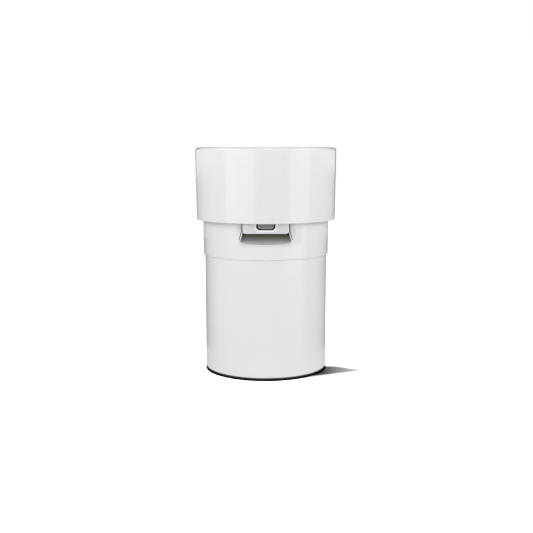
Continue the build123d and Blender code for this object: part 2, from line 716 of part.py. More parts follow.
with BuildPart() as power_socket:
    block((-6, 6), (92.8, 103.2), (DECK_TOP_Z, 264.0))
    with BuildSketch(Plane.XZ.offset(-103.2)):
        with Locations((0, SOCKET_Z)):
            Circle(SOCKET_NOSE_R)
    extrude(amount=-2.6)
    with BuildSketch(Plane.XZ.offset(-105.8)):
        with Locations((0, SOCKET_Z)):
            Circle(3.0)
    extrude(amount=10, mode=Mode.SUBTRACT)
power_socket.part.label = "power_socket"
export_step(power_socket.part, "parts/power_socket.step")

with BuildPart() as socket_pin:
    with BuildSketch(Plane.XZ.offset(-95.8)):
        with Locations((0, SOCKET_Z)):
            Circle(1.0)
    extrude(amount=-8.4)
socket_pin.part.label = "socket_pin"
export_step(socket_pin.part, "parts/socket_pin.step")

# ---------------------------------------------------------------- head: fan housing and motor

with BuildPart() as fan_housing:
    wall_outer_r = HOUSING_INNER_R + HOUSING_WALL
    revolve(section(
        (HOUSING_INNER_R, DECK_TOP_Z),
        (HOUSING_INNER_R, STATOR_BOTTOM_Z - 1.4),
        (VANE_BAND_INNER_R, STATOR_BOTTOM_Z - 0.5),
        (VANE_BAND_INNER_R, STATOR_BOTTOM_Z),
        (HOUSING_INNER_R, STATOR_BOTTOM_Z),
        (HOUSING_INNER_R, STATOR_TOP_Z + 1),
        (LEDGE_INNER_R, LEDGE_BOTTOM_Z),
        (LEDGE_INNER_R + 2.4, LEDGE_BOTTOM_Z),
        (wall_outer_r, STATOR_TOP_Z + 0.2),
        (wall_outer_r, DECK_TOP_Z),
    ))
fan_housing.part.label = "fan_housing"
export_step(fan_housing.part, "parts/fan_housing.step")

with BuildPart() as outlet_vanes:
    ring(HOUSING_INNER_R - 0.15, VANE_BAND_INNER_R, STATOR_BOTTOM_Z, STATOR_TOP_Z + 0.8)
    ring(HUB_RING_R, HUB_RING_R - 2, STATOR_BOTTOM_Z, BOARD_BOTTOM_Z)
    ring(HUB_RING_R - 1, TUBE_R + 0.3, STATOR_BOTTOM_Z, 307.0)
    vane_plan = curved_vane(HUB_RING_R - 1, VANE_BAND_INNER_R + 0.6, 38, 5, 2.0)
    vanes(vane_plan, STATOR_VANE_COUNT, STATOR_BOTTOM_Z, STATOR_TOP_Z)
    posts(3.0, BOARD_SCREW_R, 3, 306.0, BOARD_BOTTOM_Z, start=30)
    posts(1.1, BOARD_SCREW_R, 3, 316.0, BOARD_BOTTOM_Z, start=30, mode=Mode.SUBTRACT)
    posts(1.3, MOTOR_SCREW_R, 3, STATOR_BOTTOM_Z, 307.0, start=90, mode=Mode.SUBTRACT)
outlet_vanes.part.label = "outlet_vanes"
export_step(outlet_vanes.part, "parts/outlet_vanes.step")

with BuildPart() as motor_mount:
    disc(34.0, 301.5, STATOR_BOTTOM_Z)
    disc(TUBE_R, TUBE_BOTTOM_Z, 301.5)
    disc(6.4, TUBE_BOTTOM_Z, STATOR_BOTTOM_Z, mode=Mode.SUBTRACT)
    disc(BEARING_R, TUBE_BOTTOM_Z, TUBE_BOTTOM_Z + BEARING_HEIGHT, mode=Mode.SUBTRACT)
    disc(BEARING_R, UPPER_BEARING_Z, STATOR_BOTTOM_Z, mode=Mode.SUBTRACT)
    posts(1.25, MOTOR_SCREW_R, 3, 301.5, STATOR_BOTTOM_Z, start=90, mode=Mode.SUBTRACT)
motor_mount.part.label = "motor_mount"
export_step(motor_mount.part, "parts/motor_mount.step")

with BuildPart() as motor_screws:
    posts(2.6, MOTOR_SCREW_R, 3, 307.0, 308.8, start=90)
    posts(1.25, MOTOR_SCREW_R, 3, 302.0, 307.0, start=90)
motor_screws.part.label = "motor_screws"
export_step(motor_screws.part, "parts/motor_screws.step")

with BuildPart() as bearing_lower:
    ring(BEARING_R, SHAFT_R + SHAFT_FIT, TUBE_BOTTOM_Z, TUBE_BOTTOM_Z + BEARING_HEIGHT)
bearing_lower.part.label = "bearing_lower"
export_step(bearing_lower.part, "parts/bearing_lower.step")

with BuildPart() as bearing_upper:
    ring(BEARING_R, SHAFT_R + SHAFT_FIT, UPPER_BEARING_Z, UPPER_BEARING_Z + BEARING_HEIGHT)
bearing_upper.part.label = "bearing_upper"
export_step(bearing_upper.part, "parts/bearing_upper.step")

with BuildPart() as motor_stator:
    with BuildSketch(Plane.XY.offset(STACK_BOTTOM_Z)):
        Circle(STACK_R)
        Circle(21.0, mode=Mode.SUBTRACT)
        with PolarLocations(STACK_R - 1, TOOTH_COUNT, start_angle=180 / TOOTH_COUNT):
            Rectangle(8, 3.0, mode=Mode.SUBTRACT)
        with PolarLocations(16.5, TOOTH_COUNT):
            Rectangle(11, TOOTH_WIDTH)
        Circle(13.5)
        Circle(TUBE_R, mode=Mode.SUBTRACT)
    extrude(amount=STACK_TOP_Z - STACK_BOTTOM_Z)
motor_stator.part.label = "motor_stator"
export_step(motor_stator.part, "parts/motor_stator.step")

with BuildPart() as motor_windings:
    with BuildSketch(Plane.XY.offset(STACK_BOTTOM_Z - 2.5)):
        with PolarLocations(17.2, TOOTH_COUNT):
            Rectangle(6.0, 8.4)
    extrude(amount=STACK_TOP_Z - STACK_BOTTOM_Z + 5.0)
    with BuildSketch(Plane.XY.offset(STACK_BOTTOM_Z)):
        with PolarLocations(17.2, TOOTH_COUNT):
            Rectangle(7.0, TOOTH_WIDTH)
    extrude(amount=STACK_TOP_Z - STACK_BOTTOM_Z, mode=Mode.SUBTRACT)
motor_windings.part.label = "motor_windings"
export_step(motor_windings.part, "parts/motor_windings.step")

# ---------------------------------------------------------------- head: grille and controls

with BuildPart() as outlet_grille:
    ring(WELL_BOTTOM_R - 0.3, WELL_BOTTOM_R - 4.0, LEDGE_Z, GRILLE_TOP_Z)
    ring(68.4, 66.6, LEDGE_Z, GRILLE_TOP_Z)
    ring(GRILLE_HUB_R, GRILLE_HUB_R - 2.4, 329.0, PANEL_BOTTOM_Z)
    slat_plan = curved_vane(GRILLE_HUB_R - 0.8, WELL_BOTTOM_R - 3.2, 34, 4, 1.8)
    vanes(slat_plan, GRILLE_VANE_COUNT, LEDGE_Z, GRILLE_TOP_Z)
outlet_grille.part.label = "outlet_grille"
export_step(outlet_grille.part, "parts/outlet_grille.step")

with BuildPart() as control_panel:
    disc(GRILLE_HUB_R, PANEL_BOTTOM_Z, PANEL_TOP_Z)
    top_edge = control_panel.edges().filter_by(GeomType.CIRCLE).group_by(Axis.Z)[-1]
    fillet(top_edge, radius=0.8)
    ring(GRILLE_HUB_R - 2.8, GRILLE_HUB_R - 4.6, 327.0, PANEL_BOTTOM_Z)
    with BuildSketch(Plane.XY.offset(330.0)):
        Circle(POWER_BUTTON_R + 2.9)
        with GridLocations(2 * SIDE_BUTTON_X, 0, 2, 1):
            Circle(SIDE_BUTTON_R + 2.9)
        Circle(POWER_BUTTON_R + 1.5, mode=Mode.SUBTRACT)
        with GridLocations(2 * SIDE_BUTTON_X, 0, 2, 1):
            Circle(SIDE_BUTTON_R + 1.5, mode=Mode.SUBTRACT)
    extrude(amount=PANEL_BOTTOM_Z - 330.0)
    with BuildSketch(Plane.XY.offset(PANEL_BOTTOM_Z)):
        Circle(POWER_BUTTON_R + BUTTON_GAP)
        with GridLocations(2 * SIDE_BUTTON_X, 0, 2, 1):
            Circle(SIDE_BUTTON_R + BUTTON_GAP)
        with PolarLocations(LIGHT_RING_R + LIGHT_RING_WIDTH / 2, 4, start_angle=45):
            Circle(1.0)
    extrude(amount=PANEL_TOP_Z - PANEL_BOTTOM_Z, mode=Mode.SUBTRACT)
    ring(
        LIGHT_RING_R + LIGHT_RING_WIDTH, LIGHT_RING_R, LIGHT_RING_Z, PANEL_TOP_Z, mode=Mode.SUBTRACT
    )
control_panel.part.label = "control_panel"
export_step(control_panel.part, "parts/control_panel.step")

with BuildPart() as light_guide:
    ring(LIGHT_RING_R + LIGHT_RING_WIDTH, LIGHT_RING_R, LIGHT_RING_Z, PANEL_TOP_Z)
    posts(1.0, LIGHT_RING_R + LIGHT_RING_WIDTH / 2, 4, 326.8, LIGHT_RING_Z, start=45)
light_guide.part.label = "light_guide"
export_step(light_guide.part, "parts/light_guide.step")

with BuildPart() as circuit_board:
    disc(BOARD_R, BOARD_BOTTOM_Z, BOARD_TOP_Z)
    posts(1.2, BOARD_SCREW_R, 3, BOARD_BOTTOM_Z, BOARD_TOP_Z, start=30, mode=Mode.SUBTRACT)
circuit_board.part.label = "circuit_board"
export_step(circuit_board.part, "parts/circuit_board.step")

with BuildPart() as board_screws:
    posts(2.3, BOARD_SCREW_R, 3, BOARD_TOP_Z, BOARD_TOP_Z + 1.5, start=30)
    posts(1.1, BOARD_SCREW_R, 3, 317.0, BOARD_TOP_Z, start=30)
board_screws.part.label = "board_screws"
export_step(board_screws.part, "parts/board_screws.step")

with BuildPart() as tact_switches:
    with BuildSketch(Plane.XY.offset(BOARD_TOP_Z)):
        with GridLocations(SIDE_BUTTON_X, 0, 3, 1):
            Rectangle(6, 6)
    extrude(amount=1.5)
    with BuildSketch(Plane.XY.offset(BOARD_TOP_Z + 1.5)):
        with GridLocations(SIDE_BUTTON_X, 0, 3, 1):
            Circle(1.6)
    extrude(amount=0.6)
tact_switches.part.label = "tact_switches"
export_step(tact_switches.part, "parts/tact_switches.step")


def push_button(x, radius):
    """One button: a domed-edge cap, a flange that keeps it under the panel and a stem to its switch."""
    with BuildPart() as button:
        with BuildSketch(Plane.XY.offset(BUTTON_STEM_Z)):
            with Locations((x, 0)):
                Circle(2.2)
        extrude(amount=6)
        with BuildSketch(Plane.XY.offset(334.3)):
            with Locations((x, 0)):
                Circle(radius + 1.2)
        extrude(amount=1.5)
        with BuildSketch(Plane.XY.offset(335.8)):
            with Locations((x, 0)):
                Circle(radius)
        extrude(amount=BUTTON_TOP_Z - 335.8)
        fillet(button.edges().group_by(Axis.Z)[-1], radius=0.7)
    return button


power_button = push_button(0, POWER_BUTTON_R)
power_button.part.label = "power_button"
export_step(power_button.part, "parts/power_button.step")

speed_button = push_button(-SIDE_BUTTON_X, SIDE_BUTTON_R)
speed_button.part.label = "speed_button"
export_step(speed_button.part, "parts/speed_button.step")

sleep_button = push_button(SIDE_BUTTON_X, SIDE_BUTTON_R)
sleep_button.part.label = "sleep_button"
export_step(sleep_button.part, "parts/sleep_button.step")

# ---------------------------------------------------------------- impeller and what spins with it

with BuildPart() as blades:
    blade_plan = curved_vane(HUB_R + 9, IMPELLER_R - 0.5, 46, 7, 1.6)
    vanes(blade_plan, BLADE_COUNT, 262.0, 299.0)
    revolve(
        section(
            (HUB_R + 4, 268.0),
            (THROAT_R + 2.6, 266.2),
            (THROAT_R + 3.8, 266.4),
            (IMPELLER_R, 275.0),
            (IMPELLER_R, 299.0),
            (HUB_R + 4, 299.0),
        ),
        mode=Mode.INTERSECT,
    )

with BuildPart() as impeller_wheel:
    with BuildSketch(Plane.XZ):
        with BuildLine():
            Polyline(
                (HUB_R, HUB_BOTTOM_Z + HUB_NOSE_R),
                (HUB_R, 298.0),
                (IMPELLER_R, 298.0),
                (IMPELLER_R, IMPELLER_TOP_Z),
                (ROTOR_R, IMPELLER_TOP_Z),
                (ROTOR_R, HUB_FLOOR_Z),
                (0, HUB_FLOOR_Z),
                (0, HUB_BOTTOM_Z),
                (HUB_R - HUB_NOSE_R, HUB_BOTTOM_Z),
            )
            ThreePointArc(
                (HUB_R - HUB_NOSE_R, HUB_BOTTOM_Z),
                (HUB_R - HUB_NOSE_R * (1 - cos(radians(45))), HUB_BOTTOM_Z + HUB_NOSE_R * (1 - sin(radians(45)))),
                (HUB_R, HUB_BOTTOM_Z + HUB_NOSE_R),
            )
        make_face()
    revolve(axis=Axis.Z)
    add(blades.part)
    disc(SHAFT_R, 267.5, 272, mode=Mode.SUBTRACT)
impeller_wheel.part.label = "impeller_wheel"
export_step(impeller_wheel.part, "parts/impeller_wheel.step")

with BuildPart() as impeller_shroud:
    revolve(section(
        (THROAT_R + 3.2, 259.5),
        (THROAT_R + 4.8, 259.5),
        (THROAT_R + 5.2, 264.0),
        (IMPELLER_R, 273.0),
        (IMPELLER_R, 275.0),
        (THROAT_R + 3.8, 266.4),
        (THROAT_R + 3.2, 264.0),
    ))
impeller_shroud.part.label = "impeller_shroud"
export_step(impeller_shroud.part, "parts/impeller_shroud.step")

with BuildPart() as rotor_cup:
    disc(ROTOR_R, HUB_FLOOR_Z, 294.0)
    disc(MAGNET_OUTER_R, HUB_FLOOR_Z + 1.5, 294.0, mode=Mode.SUBTRACT)
    disc(5.5, HUB_FLOOR_Z + 1.5, 275.5)
    disc(SHAFT_R, HUB_FLOOR_Z, 275.5, mode=Mode.SUBTRACT)
rotor_cup.part.label = "rotor_cup"
export_step(rotor_cup.part, "parts/rotor_cup.step")

with BuildPart() as rotor_magnet:
    ring(MAGNET_OUTER_R, MAGNET_INNER_R, 274.0, 292.0)
rotor_magnet.part.label = "rotor_magnet"
export_step(rotor_magnet.part, "parts/rotor_magnet.step")

with BuildPart() as motor_shaft:
    disc(SHAFT_R, 267.5, 302.5)
    ring(SHAFT_R + 1, SHAFT_R - 0.4, 299.6, 300.5, mode=Mode.SUBTRACT)
motor_shaft.part.label = "motor_shaft"
export_step(motor_shaft.part, "parts/motor_shaft.step")

with BuildPart() as shaft_clip:
    ring(5.0, SHAFT_R - 0.4, 299.6, 300.5)
    block((0, 6), (-1.6, 1.6), (299.6, 300.5), mode=Mode.SUBTRACT)
shaft_clip.part.label = "shaft_clip"
export_step(shaft_clip.part, "parts/shaft_clip.step")

# ---------------------------------------------------------------- latch

with BuildPart() as latch_plate:
    with BuildSketch(Plane.XZ.offset(-PLATE_FRONT_Y - PLATE_THICK)):
        with Locations((0, (PLATE_BOTTOM_Z + PLATE_TOP_Z) / 2)):
            Rectangle(2 * PLATE_HALF_WIDTH, PLATE_TOP_Z - PLATE_BOTTOM_Z)
    extrude(amount=PLATE_THICK)
    lower_corners = latch_plate.edges().filter_by(Axis.Y).group_by(Axis.Z)[0]
    fillet(lower_corners, radius=4.5)
    front_edges = latch_plate.faces().sort_by(Axis.Y)[0].edges()
    fillet(front_edges.filter_by_position(Axis.Z, 0, PLATE_TOP_Z - 1), radius=1.5)
    with BuildSketch(Plane.XZ.offset(-PLATE_FRONT_Y - PLATE_THICK)):
        with BuildLine():
            Polyline(
                (-WINDOW_HALF_WIDTH, WINDOW_TOP_Z),
                (-WINDOW_HALF_WIDTH, WINDOW_BOTTOM_Z + WINDOW_CORNER),
                (-WINDOW_HALF_WIDTH + WINDOW_CORNER, WINDOW_BOTTOM_Z),
                (WINDOW_HALF_WIDTH - WINDOW_CORNER, WINDOW_BOTTOM_Z),
                (WINDOW_HALF_WIDTH, WINDOW_BOTTOM_Z + WINDOW_CORNER),
                (WINDOW_HALF_WIDTH, WINDOW_TOP_Z),
                close=True,
            )
        make_face()
    extrude(amount=PLATE_THICK, mode=Mode.SUBTRACT)
    knuckle_width = PLATE_HALF_WIDTH - WINDOW_HALF_WIDTH
    for side in (-1, 1):
        with BuildSketch(Plane.YZ.offset(side * (PLATE_HALF_WIDTH + WINDOW_HALF_WIDTH) / 2)):
            with Locations((PIN_Y, PIN_Z)):
                Circle(KNUCKLE_R)
            with Locations((PLATE_FRONT_Y + PLATE_THICK / 2, (PLATE_TOP_Z + PIN_Z) / 2 - 0.5)):
                Rectangle(PLATE_THICK, PIN_Z - PLATE_TOP_Z + 1)
            with Locations((PIN_Y, PIN_Z)):
                Circle(PIN_R + 0.06, mode=Mode.SUBTRACT)
        extrude(amount=knuckle_width / 2, both=True)
latch_plate.part.label = "latch_plate"
export_step(latch_plate.part, "parts/latch_plate.step")

with BuildPart() as latch_pin:
    with BuildSketch(Plane.YZ):
        with Locations((PIN_Y, PIN_Z)):
            Circle(PIN_R)
    extrude(amount=PIN_HALF_LENGTH, both=True)
latch_pin.part.label = "latch_pin"
export_step(latch_pin.part, "parts/latch_pin.step")

with BuildPart() as latch_spring:
    leaf_z = DECK_BOTTOM_Z - LEAF_THICK / 2
    with BuildSketch(Plane.YZ.offset(-4)):
        with BuildLine():
            FilletPolyline(
                (-98.4, leaf_z),
                (-102.2, leaf_z),
                (-101.6, 243.0),
                (PLATE_FRONT_Y - LEAF_THICK / 2, 235.4),
                (PLATE_FRONT_Y - LEAF_THICK / 2 - 0.8, 233.6),
                radius=0.8,
            )
        trace(line_width=LEAF_THICK)
    extrude(amount=8)
    with BuildSketch(Plane.XY.offset(DECK_BOTTOM_Z)):
        with Locations((0, SPRING_SCREW_Y)):
            Circle(0.9)
    extrude(amount=-1, mode=Mode.SUBTRACT)
latch_spring.part.label = "latch_spring"
export_step(latch_spring.part, "parts/latch_spring.step")

with BuildPart() as spring_rivet:
    with BuildSketch(Plane.XY.offset(DECK_BOTTOM_Z - LEAF_THICK)):
        with Locations((0, SPRING_SCREW_Y)):
            Circle(1.4)
    extrude(amount=-0.8)
    with BuildSketch(Plane.XY.offset(DECK_BOTTOM_Z - LEAF_THICK)):
        with Locations((0, SPRING_SCREW_Y)):
            Circle(0.9)
    extrude(amount=2.2)
spring_rivet.part.label = "spring_rivet"
export_step(spring_rivet.part, "parts/spring_rivet.step")
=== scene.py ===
# %% [markdown]
# # A white air purifier: a slim canister under a wide drum
#
# The real object is a tube of white plastic that holds a filter, with a collar round its top and a
# wide drum on the collar. The drum carries the fan. At the front a strap hangs down into a shallow
# scoop, and pulling it frees the drum, which then lifts off.
#
# The solids come ready made from the CAD program, so this file does the finisher's work: it gives
# every solid the plastic, rubber, paper or metal that the real piece is made of, adds the small
# things that CAD leaves plain, such as the cross recesses of the screws and the signs on the
# buttons, and then lights it all and points a camera at it.

import bmesh
import bpy
import json
from math import cos, pi, radians, sin
from mathutils import Matrix, Vector

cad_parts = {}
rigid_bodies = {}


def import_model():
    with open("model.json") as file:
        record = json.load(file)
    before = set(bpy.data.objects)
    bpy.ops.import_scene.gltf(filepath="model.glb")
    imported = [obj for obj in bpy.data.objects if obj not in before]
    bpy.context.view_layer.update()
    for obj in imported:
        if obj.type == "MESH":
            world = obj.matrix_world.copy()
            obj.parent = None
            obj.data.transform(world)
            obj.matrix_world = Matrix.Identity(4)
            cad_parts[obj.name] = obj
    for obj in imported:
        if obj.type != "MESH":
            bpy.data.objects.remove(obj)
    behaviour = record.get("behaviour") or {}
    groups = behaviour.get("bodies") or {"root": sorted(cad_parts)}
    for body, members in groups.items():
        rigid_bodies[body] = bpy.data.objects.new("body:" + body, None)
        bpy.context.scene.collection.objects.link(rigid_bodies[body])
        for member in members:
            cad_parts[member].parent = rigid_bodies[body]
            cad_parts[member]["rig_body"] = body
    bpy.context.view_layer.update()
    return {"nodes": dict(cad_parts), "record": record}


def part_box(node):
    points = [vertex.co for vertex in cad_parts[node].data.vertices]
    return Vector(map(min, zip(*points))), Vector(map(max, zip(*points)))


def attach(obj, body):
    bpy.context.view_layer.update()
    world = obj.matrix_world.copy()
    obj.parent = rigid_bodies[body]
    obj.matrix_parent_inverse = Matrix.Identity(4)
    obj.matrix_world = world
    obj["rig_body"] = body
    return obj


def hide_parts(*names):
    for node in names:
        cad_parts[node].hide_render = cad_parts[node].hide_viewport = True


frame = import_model()
nodes = frame["nodes"]
body_of_node = {name: solid["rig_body"] for name, solid in nodes.items()}

# %% [markdown]
# ## Colours and nodes
#
# Colours are easiest to pick as they look on a screen, as hex codes. Blender mixes light in linear
# values, so one function turns the first into the second. Another adds a shader node: it takes
# the node's settings, and its inputs as plain values or as (node, output) pairs. With those two,
# every material below is a short list of nodes that ends in one shader.
#
# Patterns are drawn on Object coordinates, which are in metres, so their scale comes from the real
# size of a grain or the real pitch of a band.


# %% Colour and node helpers
def linear(code):
    """An sRGB hex code such as "#e8e8e6" as a linear RGBA colour."""
    parts = [int(code[i : i + 2], 16) / 255 for i in (1, 3, 5)]
    return [p / 12.92 if p <= 0.04045 else ((p + 0.055) / 1.055) ** 2.4 for p in parts] + [1.0]


def empty_tree(owner):
    """The node tree of a material or a world, with nothing in it."""
    owner.use_nodes = True
    owner.node_tree.nodes.clear()
    return owner.node_tree


def add_node(tree, kind, inputs=None, **settings):
    """Adds a node, sets its properties, then fills or links its inputs by name or number."""
    made = tree.nodes.new(kind)
    for name, value in settings.items():
        setattr(made, name, value)
    for name, value in (inputs or {}).items():
        if isinstance(value, tuple) and isinstance(value[0], bpy.types.Node):
            tree.links.new(value[0].outputs[value[1]], made.inputs[name])
        else:
            made.inputs[name].default_value = value
    return made


def start_material(name, colour, roughness, **shader_inputs):
    """A material with one Principled shader: returns it with its tree, shader and coordinates."""
    material = bpy.data.materials.new(name)
    tree = empty_tree(material)
    shader = add_node(tree, "ShaderNodeBsdfPrincipled",
                      {"Base Color": linear(colour), "Roughness": roughness})
    for socket, value in shader_inputs.items():
        shader.inputs[socket.replace("_", " ")].default_value = value
    add_node(tree, "ShaderNodeOutputMaterial", {"Surface": (shader, "BSDF")})
    place = add_node(tree, "ShaderNodeTexCoord")
    return material, tree, shader, place


def feed(tree, shader, **sources):
    """Links nodes to a shader's inputs, such as Base_Color=(tint, "Result")."""
    for socket, (node, output) in sources.items():
        tree.links.new(node.outputs[output], shader.inputs[socket.replace("_", " ")])


def per_mm(size):
    """Scale of a pattern for a grain of size mm."""
    return 1000.0 / size


def waves_per_mm(pitch):
    """Scale of a wave texture with one band every pitch mm: at scale 1 it has 20 in 2 pi metres."""
    return per_mm(pitch) * 2 * pi / 20


# %% [markdown]
# ## White ABS for the outer shells
#
# The canister, the collar and the drum are injection-moulded ABS from a smooth mould, whose half
# gloss shows lamps as soft bands. A fine spark-eroded grain of about a tenth of a millimetre is too
# small to see from here, so it is drawn at 0.7 mm, as a faint bump that breaks up the highlights.
# Wide, slow changes in gloss are what the eye reads as a moulded wall: where the plastic flowed and
# shrank, the surface is never quite even. The disc and its buttons are a little softer, and the
# grille comes from a matt mould.

# %% White ABS
FLOW_MM = 70  # width of the clouds that the flow of the plastic leaves
GLOSS_DRIFT = 0.03  # how far the roughness drifts either way
GRAIN_DEPTH = 0.00004  # height of the grain in metres

finish = {}


def moulded_plastic(name, colour, shade, roughness, grain_mm, bump, ior):
    """Plastic whose colour drifts to shade in wide clouds, with varying gloss and a fine grain."""
    material, tree, shader, place = start_material(name, colour, roughness, IOR=ior)
    flow = add_node(tree, "ShaderNodeTexNoise",
                    {"Vector": (place, "Object"), "Scale": per_mm(FLOW_MM), "Detail": 3.0})
    tint = add_node(tree, "ShaderNodeMix", {"Factor": (flow, "Fac"), "A": linear(colour),
                                            "B": linear(shade)}, data_type="RGBA")
    gloss = add_node(tree, "ShaderNodeMapRange",
                     {"Value": (flow, "Fac"), "From Min": 0.3, "From Max": 0.7,
                      "To Min": roughness - GLOSS_DRIFT, "To Max": roughness + GLOSS_DRIFT})
    grain = add_node(tree, "ShaderNodeTexNoise",
                     {"Vector": (place, "Object"), "Scale": per_mm(grain_mm), "Detail": 2.0})
    relief = add_node(tree, "ShaderNodeBump",
                      {"Height": (grain, "Fac"), "Strength": bump, "Distance": GRAIN_DEPTH})
    feed(tree, shader, Base_Color=(tint, "Result"), Roughness=(gloss, "Result"),
         Normal=(relief, "Normal"))
    return material


# each row: finish, then material, colour, shade, roughness, grain in mm, bump, refractive index
for slot, *look in (
        ("shell_white", "satin_white_abs", "#efefee", "#ecebeb", 0.13, 0.7, 0.10, 1.53),
        ("panel_white", "gloss_white_abs", "#ebebea", "#e8e8e6", 0.22, 1.2, 0.12, 1.53),
        ("grille_white", "matt_white_abs", "#e6e6e4", "#e0e0de", 0.52, 0.6, 0.45, 1.53)):
    finish[slot] = moulded_plastic(*look)
print("white plastics:", list(finish))

# %% [markdown]
# Round the finger scoop the real collar is taken to roll inwards over a few millimetres, as
# moulded edges do. The solid's edges are sharper there, so the shade of the roll is painted: a
# soft grey on the collar's front that fades downwards below the scoop's foot, and one that fades
# sideways from each side of the strap. The right one is wider, as it faces away from the key.

# %% Shade round the scoop
COLLAR_FRONT = (-0.065, -0.070)  # in Y, from where the shade is allowed to where it is full
SHADE_GREY = "#d3d3d3"
# each row: the middle of a shade in X, then how far from it, and at which lower and upper height,
# the shade starts and is full, and last its strength
SHADES = ((0.0, (0.0410, 0.0330), (0.1965, 0.2020), (0.2100, 0.2060), 1.0),
          (0.0330, (0.0130, 0.0100), (0.2020, 0.2180), (0.2315, 0.2235), 0.95),
          (0.0400, (0.0160, 0.0100), (0.1960, 0.2060), (0.2315, 0.2245), 0.4),
          (-0.0350, (0.0105, 0.0035), (0.2110, 0.2225), (0.2315, 0.2235), 0.8))

tree = finish["shell_white"].node_tree
shader = tree.nodes["Principled BSDF"]
plain = shader.inputs["Base Color"].links[0].from_node
place = add_node(tree, "ShaderNodeTexCoord")
spot = add_node(tree, "ShaderNodeSeparateXYZ", {"Vector": (place, "Object")})
front = add_node(tree, "ShaderNodeMapRange", {
    "Value": (spot, "Y"), "From Min": COLLAR_FRONT[0], "From Max": COLLAR_FRONT[1]})
scoop_shade_mask = add_node(tree, "ShaderNodeValue")
scoop_shade_mask.outputs["Value"].default_value = 0.0
for middle, across, low, high, strength in SHADES:
    offset = add_node(tree, "ShaderNodeMath", {0: (spot, "X"), 1: middle}, operation="SUBTRACT")
    aside = add_node(tree, "ShaderNodeMath", {0: (offset, "Value")}, operation="ABSOLUTE")
    grey = add_node(tree, "ShaderNodeMapRange", {"Value": (front, "Result"), "To Max": strength})
    for source, output, (start, full) in (
            (aside, "Value", across), (spot, "Z", low), (spot, "Z", high)):
        grey = add_node(tree, "ShaderNodeMapRange", {
            "Value": (source, output), "From Min": start, "From Max": full,
            "To Max": (grey, "Result")})
    scoop_shade_mask = add_node(tree, "ShaderNodeMath", {0: (grey, "Result"), 1: (scoop_shade_mask, "Value")},
                    operation="MAXIMUM")
# painted shade: the collar's colour goes towards grey where the mask is full
shaded_collar = add_node(tree, "ShaderNodeMix", {"Factor": (scoop_shade_mask, "Value"), "A": (plain, "Result"),
                                        "B": linear(SHADE_GREY)}, data_type="RGBA")
feed(tree, shader, Base_Color=(shaded_collar, "Result"))
print("shade round the scoop:", len(SHADES), "greys")

# %% [markdown]
# ## The strap
#
# The strap is the same ABS, a shade greyer than the shells. Its flat face is satin, and the rounded
# edge round it carries a painted highlight, so it stands out as a bright line. What tells face from
# edge is the surface's own direction: where it turns away from the front, the colour goes to white.
# A lip about 2 mm wide round the window carries a painted highlight as well: there the colour
# follows the distance from the window.


# %% Pale ABS of the strap, with painted highlights
def turned_away(tree, place, starts, full):
    """A mask from 0, facing the front, to 1, turned away; starts and full are cosines."""
    facing = add_node(tree, "ShaderNodeVectorMath", {0: (place, "Normal"), 1: (0, -1, 0)},
                      operation="DOT_PRODUCT")
    return add_node(tree, "ShaderNodeMapRange", {
        "Value": (facing, "Value"), "From Min": starts, "From Max": full})


# the distance is counted from a core inside the window, whose corners are the middles of the
# window's round corners, and no further than REACH
CORE_HALF, CORE_FOOT, REACH = 0.0103, 0.2259, 0.010
HIGHLIGHT_ENDS, HIGHLIGHT_FULL = 0.0070, 0.0054
STRAP_GREY, STRAP_HIGHLIGHT = "#e1e2e2", "#ffffff"

strap, tree, shader, place = start_material("satin_grey_white_abs", STRAP_GREY, 0.26, IOR=1.53)
# painted highlight where the rounded edge turns away from the front
edge = turned_away(tree, place, 0.99, 0.80)
spot = add_node(tree, "ShaderNodeSeparateXYZ", {"Vector": (place, "Object")})
aside = add_node(tree, "ShaderNodeMath", {0: (spot, "X")}, operation="ABSOLUTE")
past_side = add_node(tree, "ShaderNodeMapRange", {
    "Value": (aside, "Value"), "From Min": CORE_HALF, "From Max": CORE_HALF + REACH,
    "To Max": REACH})
past_sill = add_node(tree, "ShaderNodeMapRange", {
    "Value": (spot, "Z"), "From Min": CORE_FOOT, "From Max": CORE_FOOT - REACH, "To Max": REACH})
away = add_node(tree, "ShaderNodeCombineXYZ", {"X": (past_side, "Result"),
                                               "Z": (past_sill, "Result")})
distance = add_node(tree, "ShaderNodeVectorMath", {0: (away, "Vector")}, operation="LENGTH")
# painted highlight on a lip round the window
window_highlight = add_node(tree, "ShaderNodeMapRange", {
    "Value": (distance, "Value"), "From Min": HIGHLIGHT_ENDS, "From Max": HIGHLIGHT_FULL})
painted_highlight = add_node(tree, "ShaderNodeMath", {0: (edge, "Result"), 1: (window_highlight, "Result")},
                  operation="MAXIMUM")
# white where the painted highlights are
tint = add_node(tree, "ShaderNodeMix", {"Factor": (painted_highlight, "Value"), "A": linear(STRAP_GREY),
                                        "B": linear(STRAP_HIGHLIGHT)}, data_type="RGBA")
feed(tree, shader, Base_Color=(tint, "Result"))
finish["strap_white"] = strap
print("strap:", strap.name)

# %% [markdown]
# ## The scoop
#
# The scoop behind the strap is matt warm grey ABS. The real one runs on upwards behind the strap,
# where no light reaches, and turns forward to a pale lip at its foot. So its colour is painted
# shade
# that changes with height: nearly black above the strap's lower edge, and pale grey at the lip.

# %% Warm grey ABS of the scoop, with painted shade
SCOOP_DARK_Z, SCOOP_LIP_Z = 0.2175, 0.2025
SCOOP_CURVE = 2.2  # above 1, it stays dark for longer and turns pale close to the lip

